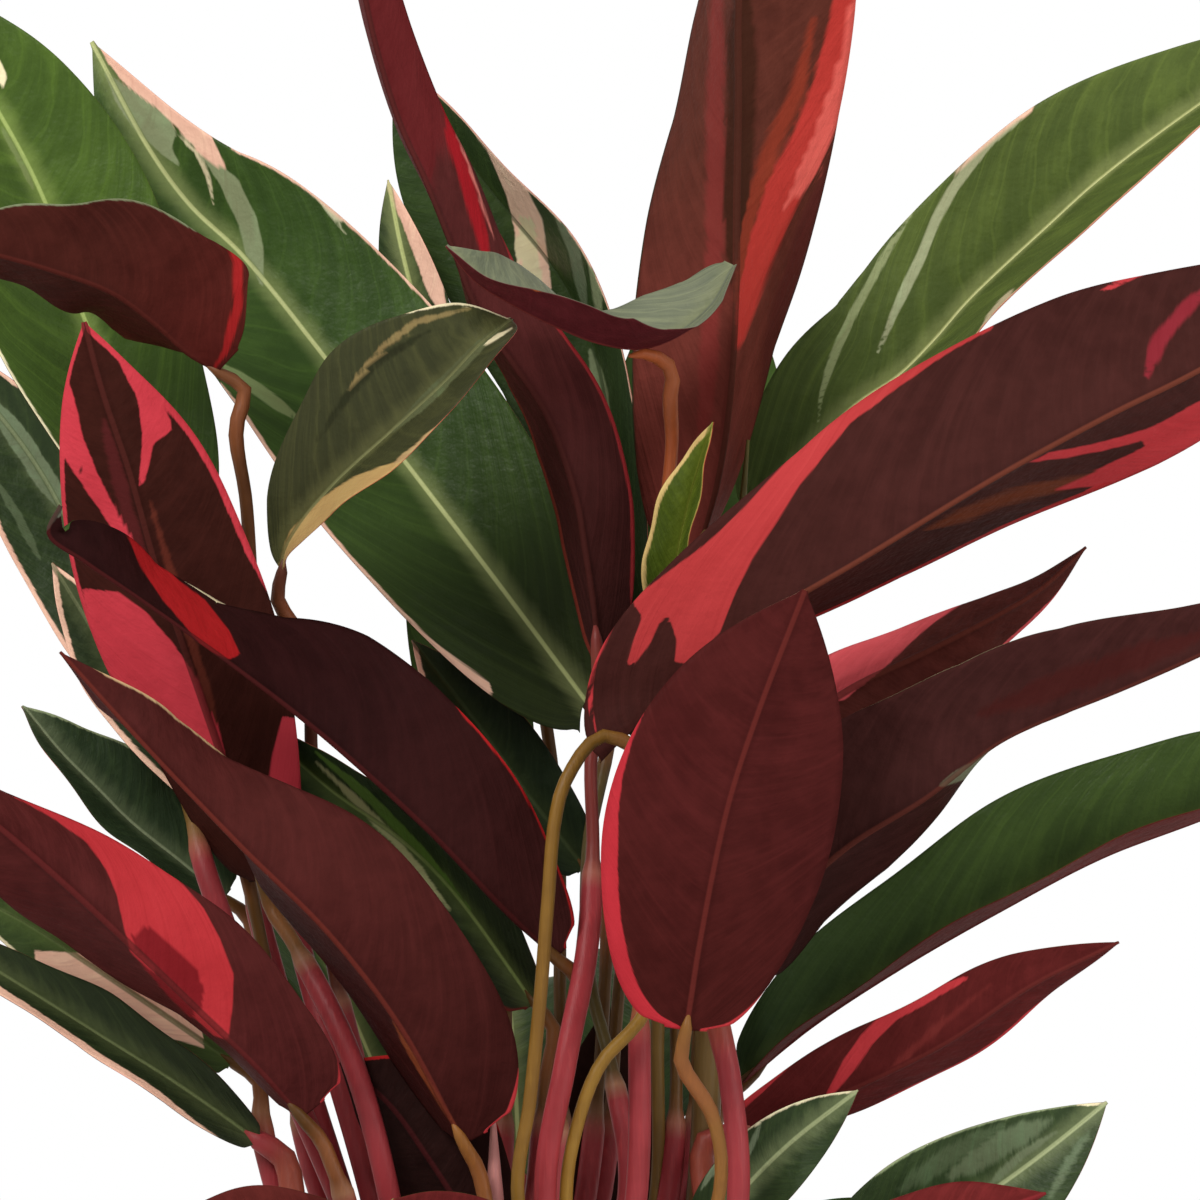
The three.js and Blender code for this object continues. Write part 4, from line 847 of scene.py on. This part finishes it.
def blade(name, leaf, rib, dice, materials):
    """One blade as a closed shell, with its colours on its vertices."""
    if "streaks" in leaf["look"] or "patches" in leaf["look"]:
        rows, columns = FINEST
    else:
        rows, columns = COARSE if name[0] in "ij" else FINE
    upper, lower, share, side, reach = blade_layers(leaf, rib, rows, columns, dice.uniform(0, 6))
    points, faces, fronts = closed_shell(upper, lower)
    thing = mesh_object(f"blade_{name}", points, faces.tolist())
    count = share.size

    look = leaf["look"]
    visible, other = ("upper", "lower") if leaf["face"] == "top" else ("lower", "upper")
    layers = {"upper": upper, "lower": lower}
    length = rib.length
    front = blend_marks(
        front_marks(leaf, look, layers[visible], share, side, reach, length), share.shape)
    pale = (CREAM, SALMON, SILVER) if other == "upper" else (PINK, CORAL, RED)
    hidden = [] if "rear" in look else hidden_marks(leaf, share, side, length, dice, pale)
    rear = blend_marks(hidden, share.shape)
    fade = np.clip(1 - share * 2.2, 0, 1)[..., None]
    own = linear(look["base"]) * (1 - fade) + linear(look.get("low", look["base"])) * fade
    far_colour = look.get("rear", GREEN if other == "upper" else BURGUNDY)
    rear_base = np.zeros(own.shape) + linear(far_colour)
    rear_line = look.get("rear", MOSS_LINE if other == "upper" else RED_LINE)
    parts = {
        visible: (own, front, look["line"]),
        other: (rear_base, rear, rear_line),
    }
    stack = {"ground": [], "tint": [], "line": []}
    depths = []
    for key in ("upper", "lower"):
        ground, (tint, depth), line = parts[key]
        stack["ground"].append(ground.reshape(-1, 3))
        stack["tint"].append(tint.reshape(-1, 3))
        stack["line"].append(np.tile(linear(line), (count, 1)))
        depths.append(depth.ravel())
    for key, colours in stack.items():
        paint(thing, key, np.concatenate(colours))
    weigh(thing, "depth", np.concatenate(depths))
    weigh(thing, "along", np.tile(share.ravel(), 2))
    weigh(thing, "across", np.tile(side.ravel(), 2))
    weigh(thing, "apart", np.tile(reach.ravel(), 2))
    weigh(thing, "veins", np.full(2 * count, leaf["veins"]))
    weigh(thing, "seed", np.full(2 * count, dice.uniform(0, 50)))
    for material in materials:
        thing.data.materials.append(material)
    back = np.zeros(len(faces), int)
    back[fronts:] = 1
    thing.data.polygons.foreach_set("material_index", back)
    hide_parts(f"leaf_{name}")
    return thing


# ---------------------------------------------------------------- stalks


def ring_faces(rings, sides):
    """The quads between rings of points, each with the same number of sides."""
    return [(k * sides + s, k * sides + (s + 1) % sides,
             (k + 1) * sides + (s + 1) % sides, (k + 1) * sides + s)
            for k in range(rings - 1) for s in range(sides)]


def tube(curve, shares, radii, sides, flat=None):
    """A closed tube along a curve, with a radius for every ring and how far it is flattened."""
    centres = curve.at(shares)
    along = curve.along(shares)
    normals = np.zeros_like(centres)
    lead = np.array([1.0, 0.1, 0])
    for k, direction in enumerate(along):
        lead = lead - direction * (lead @ direction)
        lead /= np.linalg.norm(lead)
        normals[k] = lead
    binormals = np.cross(along, normals)
    angles = np.arange(sides) * 2 * math.pi / sides
    squeeze = np.ones(len(shares)) if flat is None else flat
    rings = (centres[:, None]
             + normals[:, None] * (radii[:, None] * np.cos(angles))[..., None]
             + binormals[:, None] * (radii[:, None] * squeeze[:, None] * np.sin(angles))[..., None])
    count = len(shares)
    points = np.concatenate([rings.reshape(-1, 3), centres[:1], centres[-1:]])
    faces = ring_faces(count, sides)
    last = count * sides
    for s in range(sides):
        t = (s + 1) % sides
        faces.append((last, t, s))
        faces.append((last + 1, (count - 1) * sides + s, (count - 1) * sides + t))
    return points, faces


def shoot_foot(shoot):
    """The two lowest points of every stalk and spear in a shoot."""
    across, forward = SHOOTS[shoot]
    return [(across, -forward, SOIL_TOP + 6), (across, -forward, STEM_TOP - 8)]


def by_ring(tone):
    """A tube's colours, from one colour for each of its rings."""
    return np.concatenate([np.repeat(tone, STALK_SIDES, axis=0), tone[:1], tone[-1:]])


def dress(thing, colours, dice, material):
    """Gives a stalk, spear or foot its colours, its own seed and its material."""
    paint(thing, "ground", colours)
    weigh(thing, "seed", np.full(len(colours), dice.uniform(0, 50)))
    thing.data.materials.append(material)
    return thing


def stalk(name, leaf, rib, dice, material):
    """One petiole: a sheath below, a thin stalk above, and a swollen joint under the blade."""
    base = rib.at(leaf["joint"])
    ahead, top = (way[0] for way in blade_frame(leaf, rib, np.array([leaf["joint"]])))
    # A stalk that meets a heart-shaped base or the middle of a rib comes from under the blade.
    drop = STALK_DROP if leaf["cleft"] or leaf["joint"] else 0
    curve = Curve([
        *shoot_foot(name[0]),
        *[place(point) for point in leaf["stalk"]],
        base - 10 * ahead - 2.4 * drop * top,
        base - 1.8 * ahead - 0.7 * drop * top,
        rib.at(leaf["joint"] + 0.04) - 0.8 * drop * top,
    ])
    count = max(24, int(curve.length / STALK_STEP))
    shares = np.linspace(0, 1, count + 1)
    low, high, end_row = STALKS.get(name, STALKS["default"])
    rows = on_grid(curve.at(shares))[1]
    sheath = 1 / (1 + np.exp(-(rows - end_row) / 5))
    left = (1 - shares) * curve.length
    joint = np.exp(-((left - PULVINUS_LENGTH) / (PULVINUS_LENGTH * 0.55)) ** 4)
    collar = np.exp(-((rows - end_row) / 7) ** 2)
    radii = (STALK_RADIUS + (SHEATH_RADIUS - STALK_RADIUS) * sheath
             + JOINT_SWELL * joint + COLLAR_SWELL * collar)
    radii *= np.clip(left / 8 + 0.25, 0.25, 1)
    points, faces = tube(curve, shares, radii, STALK_SIDES, 1 - SHEATH_FLATNESS * sheath)
    thing = mesh_object(f"stalk_{name}", points, faces)
    tone = linear(high) * (1 - sheath)[:, None] + linear(low) * sheath[:, None]
    warm = linear(JOINT_BROWN)
    tone = tone * (1 - 0.55 * joint)[:, None] + warm * (0.55 * joint)[:, None]
    nub = linear(NUB)
    tone = tone * (1 - 0.3 * collar)[:, None] + nub * (0.3 * collar)[:, None]
    return dress(thing, by_ring(tone), dice, material)


def spear(shoot, dice, material):
    """A young leaf that is still rolled up."""
    curve = Curve(shoot_foot(shoot) + [place(point) for point in SPEARS[shoot]])
    shares = np.linspace(0, 1, max(24, int(curve.length / STALK_STEP)) + 1)
    radii = SPEAR_RADIUS * np.minimum(1, 0.12 + 2.2 * (1 - shares))
    points, faces = tube(curve, shares, radii, STALK_SIDES)
    thing = mesh_object(f"spear_{shoot}", points, faces)
    low, high = (ROSE, PALE_ROSE) if shoot == "c" else (SPEAR_BROWN, SPEAR_GREEN)
    tone = linear(low) + (linear(high) - linear(low)) * shares[:, None]
    return dress(thing, by_ring(tone), dice, material)


def crown(shoot, dice, material):
    """A shoot's short foot, wrapped in the sheaths of its stalks."""
    across, forward = SHOOTS[shoot]
    curve = Curve([(across, -forward, height)
                   for height in (SOIL_TOP - FOOT_IN_SOIL, SOIL_TOP, STEM_TOP)])
    shares = np.linspace(0, 1, 26)
    radii = STEM_RADIUS * (STEM_TAPER[0] - STEM_TAPER[1] * shares)
    points, faces = tube(curve, shares, radii, CROWN_SIDES)
    turns = np.arctan2(points[:, 1] + forward, points[:, 0] - across)
    wrap = 1 + WRAP_DEPTH * np.sin(WRAP_FOLDS * turns + points[:, 2] * 0.12 + dice.uniform(0, 6))
    points[:, 0] = across + (points[:, 0] - across) * wrap
    points[:, 1] = -forward + (points[:, 1] + forward) * wrap
    thing = mesh_object(f"crown_{shoot}", points, faces)
    height = np.clip((points[:, 2] - SOIL_TOP) / STEM_RISE, 0, 1)[:, None]
    dress(thing, linear(FOOT_BROWN) * (1 - height) + linear(ROSE) * height, dice, material)
    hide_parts(f"shoot_{shoot}")
    return thing


# ---------------------------------------------------------------- pot and soil


def pot_radius(height):
    """The pot's outer radius at a height."""
    return POT_FOOT_RADIUS + (POT_TOP_RADIUS - POT_FOOT_RADIUS) * height / POT_HEIGHT


def soil(material):
    """The top of the potting mix: a crumbly disc with lumps of bark, over the CAD's soil."""
    rings, sectors = SOIL_MESH
    edge = pot_radius(SOIL_TOP) - POT_WALL - 0.6
    points = []
    for ring in range(rings + 1):
        radius = edge * ring / rings
        for sector in range(sectors):
            angle = 2 * math.pi * sector / sectors
            x, y = radius * math.cos(angle), radius * math.sin(angle)
            spot = (x * 0.16, y * 0.16, 0)
            lump = 1.5 * noise.noise(spot) + 0.9 * noise.noise((x * 0.5, y * 0.5, 3))
            points.append((x, y, SOIL_TOP + 1.2 - 3.2 * (ring / rings) ** 3 + lump))
    thing = mesh_object("soil_top", points, ring_faces(rings + 1, sectors))
    thing.data.materials.append(material)
    return thing


def crumbs(dice, material):
    """Loose lumps on the soil."""
    rings, sectors = CRUMB_MESH
    points, faces = [], []
    for _ in range(CRUMB_COUNT):
        radius = CRUMB_SPREAD * dice.random() ** 0.5
        angle = dice.uniform(0, 2 * math.pi)
        size = dice.uniform(*CRUMB_SIZES)
        centre = (radius * math.cos(angle), radius * math.sin(angle), SOIL_TOP + 0.8)
        first = len(points)
        for ring in range(rings):
            polar = math.pi * ring / (rings - 1)
            for sector in range(sectors):
                turn = 2 * math.pi * sector / sectors
                scale = size * dice.uniform(0.75, 1.15)
                points.append((centre[0] + scale * math.sin(polar) * math.cos(turn),
                               centre[1] + scale * math.sin(polar) * math.sin(turn),
                               centre[2] + 0.7 * scale * math.cos(polar)))
        faces += [(first + a, first + d, first + c, first + b)
                  for a, b, c, d in ring_faces(rings, sectors)]
    thing = mesh_object("soil_crumbs", points, faces)
    thing.data.materials.append(material)
    return thing


# ---------------------------------------------------------------- materials


class Nodes:
    """Builds one material's node tree."""

    def __init__(self, name):
        self.material = bpy.data.materials.new(name)
        self.material.use_nodes = True
        self.tree = self.material.node_tree
        self.tree.nodes.clear()
        self.shader = self.add("ShaderNodeBsdfPrincipled")
        result = self.add("ShaderNodeOutputMaterial")
        self.tree.links.new(self.shader.outputs[0], result.inputs[0])

    def add(self, kind, **settings):
        """A new node of a kind, with its settings."""
        node = self.tree.nodes.new(kind)
        for key, value in settings.items():
            setattr(node, key, value)
        return node

    def feed(self, socket, value):
        """Links an output to a socket, or sets the socket to a plain value."""
        if isinstance(value, bpy.types.NodeSocket):
            self.tree.links.new(value, socket)
        else:
            socket.default_value = value

    def math(self, operation, *values):
        """The result of a Math node."""
        node = self.add("ShaderNodeMath", operation=operation)
        for socket, value in zip(node.inputs, values):
            self.feed(socket, value)
        return node.outputs[0]

    def times(self, one, two):
        """The product of two values."""
        return self.math("MULTIPLY", one, two)

    def plus(self, *values):
        """The sum of two values or more."""
        whole = values[0]
        for value in values[1:]:
            whole = self.math("ADD", whole, value)
        return whole

    def mix(self, factor, one, two, blend="MIX"):
        """Two colours mixed."""
        node = self.add("ShaderNodeMix", data_type="RGBA", blend_type=blend)
        self.feed(node.inputs["Factor"], factor)
        for label, value in (("A", one), ("B", two)):
            socket = [s for s in node.inputs if s.name == label and s.type == "RGBA"][0]
            if not isinstance(value, bpy.types.NodeSocket):
                value = (*value, 1)
            self.feed(socket, value)
        return [s for s in node.outputs if s.type == "RGBA"][0]

    def tinted(self, colour, shares):
        """A colour with its red, green and blue each multiplied."""
        return self.mix(1.0, colour, shares, "MULTIPLY")

    def covered(self, colour, *covers):
        """A colour with others mixed over it in turn, each given as its factor and the colour."""
        for factor, over in covers:
            colour = self.mix(factor, colour, over)
        return colour

    def value(self, name):
        """A number that weigh() gave the vertices."""
        return self.add("ShaderNodeAttribute", attribute_name=name).outputs["Fac"]

    def colour(self, name):
        """A colour that paint() gave the vertices."""
        return self.add("ShaderNodeAttribute", attribute_name=name).outputs["Color"]

    def vector(self, x, y, z):
        """Three values as one vector."""
        node = self.add("ShaderNodeCombineXYZ")
        for socket, value in zip(node.inputs, (x, y, z)):
            self.feed(socket, value)
        return node.outputs[0]

    def noise(self, where, scale, detail=3, roughness=0.55):
        """Noise from 0 to 1 at a vector."""
        node = self.add("ShaderNodeTexNoise")
        self.feed(node.inputs["Vector"], where)
        node.inputs["Scale"].default_value = scale
        node.inputs["Detail"].default_value = detail
        node.inputs["Roughness"].default_value = roughness
        return node.outputs["Fac"]

    def place(self):
        """The point on the object, in metres."""
        return self.add("ShaderNodeTexCoord").outputs["Object"]

    def range(self, value, low, high, to_low=0.0, to_high=1.0):
        """A value eased from one span to another."""
        node = self.add("ShaderNodeMapRange", interpolation_type="SMOOTHSTEP")
        for label, number in (("Value", value), ("From Min", low), ("From Max", high),
                              ("To Min", to_low), ("To Max", to_high)):
            self.feed(node.inputs[label], number)
        return node.outputs[0]

    def finish(self, colour, roughness, bump=None, depth=0.0002, **constants):
        """The material, with its bump's depth in metres and any other sockets set by name."""
        self.feed(self.shader.inputs["Base Color"], colour)
        self.feed(self.shader.inputs["Roughness"], roughness)
        for label, number in constants.items():
            self.shader.inputs[label.replace("_", " ")].default_value = number
        if bump is not None:
            node = self.add("ShaderNodeBump")
            node.inputs["Strength"].default_value = 1.0
            node.inputs["Distance"].default_value = depth
            self.feed(node.inputs["Height"], bump)
            self.feed(self.shader.inputs["Normal"], node.outputs[0])
        return self.material


def blade_material(name, top):
    """A blade's skin: ground colour, veins, midrib and the ragged patches of the variegation."""
    n = Nodes(name)
    share, side, seed = n.value("along"), n.value("across"), n.value("seed")
    apart = n.math("ABSOLUTE", side)
    sweep = n.plus(n.times(apart, VEIN_SWEEP[0]),
                   n.times(n.math("POWER", apart, 2.0), VEIN_SWEEP[1]))
    start = n.math("DIVIDE", n.math("SUBTRACT", share, sweep), n.math("SUBTRACT", 1.0, sweep))
    wobble = n.noise(n.vector(n.times(share, 5.0), side, seed), 1.6, 2)
    turns = n.plus(n.times(start, n.value("veins")), n.times(wobble, 0.7))
    swing = n.math("SINE", n.times(turns, 2 * math.pi))
    band = n.range(swing, -1.0, 1.0)
    vein = n.range(swing, 0.94, 1.0)
    rib_span = n.value("apart")
    # Streaks run with the lateral veins, from the midrib out.
    lane = n.vector(n.times(start, 26.0), n.times(side, 1.4), seed)
    streak = n.noise(lane, 1.0, 4, 0.6)
    thin_streak = n.noise(n.vector(n.times(start, 90.0), side, seed), 1.0, 3, 0.6)
    cloud = n.noise(n.vector(n.times(share, 3.0), side, seed), 1.3, 3)
    # The puckers: this noise raises the bump, and on the under side it also paints light, lighter
    # where they rise.
    pucker_and_painted_light = n.noise(n.place(), 140, 3)

    ground, line, tint = n.colour("ground"), n.colour("line"), n.colour("tint")
    if top:
        light = n.tinted(ground, (1.75, 1.7, 1.45))
        dark = n.tinted(ground, (0.72, 0.76, 0.72))
        pale = n.mix(0.45, n.tinted(ground, (2.1, 2.0, 1.4)), line)
        glow = n.range(n.math("SUBTRACT", rib_span, n.times(streak, 4.0)), 5.0, -2.0, 0.0, 0.62)
        colour = n.covered(
            ground,
            (n.range(cloud, 0.3, 0.7, 0.0, 0.6), dark),
            (n.times(band, 0.06), light),
            (n.times(vein, 0.32), light),
            (n.range(streak, 0.4, 0.75, 0.0, 0.55), light),
            (n.range(thin_streak, 0.5, 0.8, 0.0, 0.3), light),
            (glow, pale),
            (n.range(rib_span, 1.1, 0.5), line))
    else:
        light = n.tinted(ground, (1.5, 1.45, 1.5))
        dark = n.tinted(ground, (0.66, 0.6, 0.62))
        colour = n.covered(
            ground,
            (n.range(cloud, 0.3, 0.7, 0.0, 0.7), dark),
            (n.times(band, 0.06), light),
            (n.times(vein, 0.12), dark),
            (n.range(streak, 0.45, 0.75, 0.0, 0.5), light),
            (n.range(thin_streak, 0.45, 0.8, 0.0, 0.35), light),
            # Painted light: the under side is lighter on the crests of the puckers.
            (n.range(pucker_and_painted_light, 0.35, 0.7, 0.0, 0.3), light),
            (n.range(rib_span, 3.0, 1.0, 0.0, 0.35), dark),
            (n.range(rib_span, 1.0, 0.4, 0.0, 0.75), line))

    # The variegation: its borders are as ragged as the streaks, and the midrib runs through it.
    depth = n.plus(n.value("depth"),
                   n.plus(n.times(n.math("SUBTRACT", streak, 0.5), 1.4 if top else 1.1),
                          n.times(n.math("SUBTRACT", thin_streak, 0.5), 0.8)))
    deeper = n.tinted(tint, (0.72, 0.6, 0.6))
    paler = n.tinted(tint, (1.1, 1.25, 1.2))
    shaded = n.covered(
        tint,
        (n.range(cloud, 0.35, 0.7, 0.0, 0.5), deeper),
        (n.range(streak, 0.5, 0.8, 0.0, 0.6), paler),
        (n.range(thin_streak, 0.5, 0.75, 0.0, 0.4), deeper))
    away = n.range(rib_span, 0.8, 1.5, 0.25, 1.0)
    colour = n.mix(n.times(n.range(depth, -0.3, 0.45), away), colour, shaded)

    skin = n.noise(n.place(), 900, 2)
    height = n.plus(n.times(swing, 0.05), n.times(thin_streak, 0.5), n.times(skin, 0.25),
                    n.times(pucker_and_painted_light, 2.6), n.times(streak, 1.2))
    rough = n.range(skin, 0.3, 0.7, 0.34 if top else 0.5, 0.46 if top else 0.64)
    return n.finish(colour, rough, height, 0.0003, IOR=1.25 if top else 1.15,
                    Specular_IOR_Level=0.3 if top else 0.2)


def stalk_material():
    """The skin of stalks and sheaths: fibres that run up, and darker blotches."""
    n = Nodes("stalk_skin")
    stretch = n.add("ShaderNodeMapping")
    n.feed(stretch.inputs["Vector"], n.place())
    stretch.inputs["Scale"].default_value = (1.0, 1.0, 0.06)
    fibres = n.noise(stretch.outputs[0], 900, 3)
    blotch = n.noise(n.place(), 45, 3)
    ground = n.colour("ground")
    colour = n.covered(
        ground,
        (n.range(blotch, 0.35, 0.7, 0.0, 0.6), n.tinted(ground, (0.6, 0.52, 0.5))),
        (n.range(fibres, 0.5, 0.8, 0.0, 0.5), n.tinted(ground, (1.3, 1.3, 1.15))))
    return n.finish(colour, 0.42, fibres, 0.0002, Specular_IOR_Level=0.2)


def soil_material():
    """Peat: dark and lighter crumbs, with pale fibres."""
    n = Nodes("peat")
    grain = n.noise(n.place(), 260, 5, 0.7)
    fibre = n.noise(n.place(), 1100, 3, 0.6)
    colour = n.mix(n.range(grain, 0.35, 0.7), tuple(linear((38, 26, 20))),
                   tuple(linear((88, 62, 42))))
    colour = n.mix(n.range(fibre, 0.62, 0.72, 0.0, 0.6), colour, tuple(linear((134, 104, 74))))
    return n.finish(colour, 0.95, grain, 0.002)


def pot_material():
    """Moulded grey plastic with a fine grain and slightly smeared gloss."""
    n = Nodes("moulded_plastic")
    grain = n.noise(n.place(), 700, 3)
    smear = n.noise(n.place(), 22, 3)
    colour = n.mix(n.range(smear, 0.35, 0.7), tuple(linear((44, 46, 48))),
                   tuple(linear((58, 60, 62))))
    rough = n.range(smear, 0.3, 0.7, 0.42, 0.6)
    return n.finish(colour, rough, grain, 0.00015)


# ---------------------------------------------------------------- the plant

top_skin = blade_material("blade_top_skin", True)
under_skin = blade_material("blade_under_skin", False)
stalk_skin = stalk_material()
peat = soil_material()
plastic = pot_material()

for name, row in LEAVES.items():
    dice = random.Random(f"leaf {name}")
    leaf = {**LEAF_DEFAULTS, **row}
    plain = {"base": GREEN, "line": MOSS_LINE, "low": DEEP_GREEN}
    leaf["look"] = LOOKS.get(name, plain)
    leaf["wave"] = leaf["look"].get("wave", MARGIN_WAVE)
    leaf["waves"] = dice.uniform(*WAVE_COUNTS)
    rib = Curve([place(point) for point in leaf["rib"]])
    leaf["veins"] = round(rib.length / VEIN_SPACING)
    blade(name, leaf, rib, dice, (top_skin, under_skin))
    stalk(name, leaf, rib, dice, stalk_skin)

for shoot in SHOOTS:
    dice = random.Random(f"shoot {shoot}")
    crown(shoot, dice, stalk_skin)
    if shoot in SPEARS:
        spear(shoot, dice, stalk_skin)

soil(peat)
crumbs(random.Random("crumbs"), peat)
for node, material in (("pot", plastic), ("soil", peat)):
    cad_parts[node].data.materials.clear()
    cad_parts[node].data.materials.append(material)

# ---------------------------------------------------------------- stage, lights and camera


def disc(name, radius, height):
    """A flat round face, with sizes in metres."""
    turns = [2 * math.pi * k / DISC_SIDES for k in range(DISC_SIDES)]
    mesh = bpy.data.meshes.new(name)
    mesh.from_pydata([(radius * math.cos(turn), radius * math.sin(turn), height) for turn in turns],
                     [], [tuple(range(DISC_SIDES))])
    thing = bpy.data.objects.new(name, mesh)
    bpy.context.scene.collection.objects.link(thing)
    return thing


def area_light(name, place_at, aim, size, power):
    """A round soft light that looks at a point, in metres and watts."""
    light = bpy.data.lights.new(name, "AREA")
    light.shape = "DISK"
    light.size = size
    light.energy = power
    light.color = WARM_WHITE
    thing = bpy.data.objects.new(name, light)
    bpy.context.scene.collection.objects.link(thing)
    thing.location = place_at
    thing.rotation_euler = (Vector(aim) - Vector(place_at)).to_track_quat("-Z", "Y").to_euler()
    return thing


floor = disc("floor", FLOOR_RADIUS, -0.0005)
paper = Nodes("floor_paper")
floor.data.materials.append(paper.finish(
    paper.mix(paper.noise(paper.place(), 3, 2), (0.8, 0.8, 0.8), (0.84, 0.84, 0.84)), 0.9))

world = bpy.data.worlds.new("studio")
bpy.context.scene.world = world
world.use_nodes = True
tree = world.node_tree
tree.nodes.clear()
glow = tree.nodes.new("ShaderNodeBackground")
glow.inputs["Strength"].default_value = SKY_STRENGTH
white = tree.nodes.new("ShaderNodeBackground")
white.inputs["Color"].default_value = (1, 1, 1, 1)
white.inputs["Strength"].default_value = 1.0
glow.inputs["Color"].default_value = (*WARM_WHITE, 1)
seen = tree.nodes.new("ShaderNodeLightPath")
either = tree.nodes.new("ShaderNodeMixShader")
sky = tree.nodes.new("ShaderNodeOutputWorld")
tree.links.new(seen.outputs["Is Camera Ray"], either.inputs[0])
tree.links.new(glow.outputs[0], either.inputs[1])
tree.links.new(white.outputs[0], either.inputs[2])
tree.links.new(either.outputs[0], sky.inputs[0])

area_light("key", (-0.9, -1.5, 1.7), (0, 0, 0.45), 0.9, 28)
area_light("fill", (1.4, -1.4, 0.9), (0, 0, 0.4), 1.2, 12)

lens = bpy.data.cameras.new("camera")
lens.lens = LENS
lens.sensor_width = SENSOR
camera = bpy.data.objects.new("camera", lens)
bpy.context.scene.collection.objects.link(camera)
camera.location = (GRID * (VIEW_COLUMN - AXIS_COLUMN) * MM, -VIEW_DISTANCE * MM,
                   GRID * (FLOOR_ROW - VIEW_ROW) * MM)
camera.rotation_euler = (math.pi / 2, 0, 0)
bpy.context.scene.camera = camera
bpy.context.scene.view_settings.view_transform = "Standard"
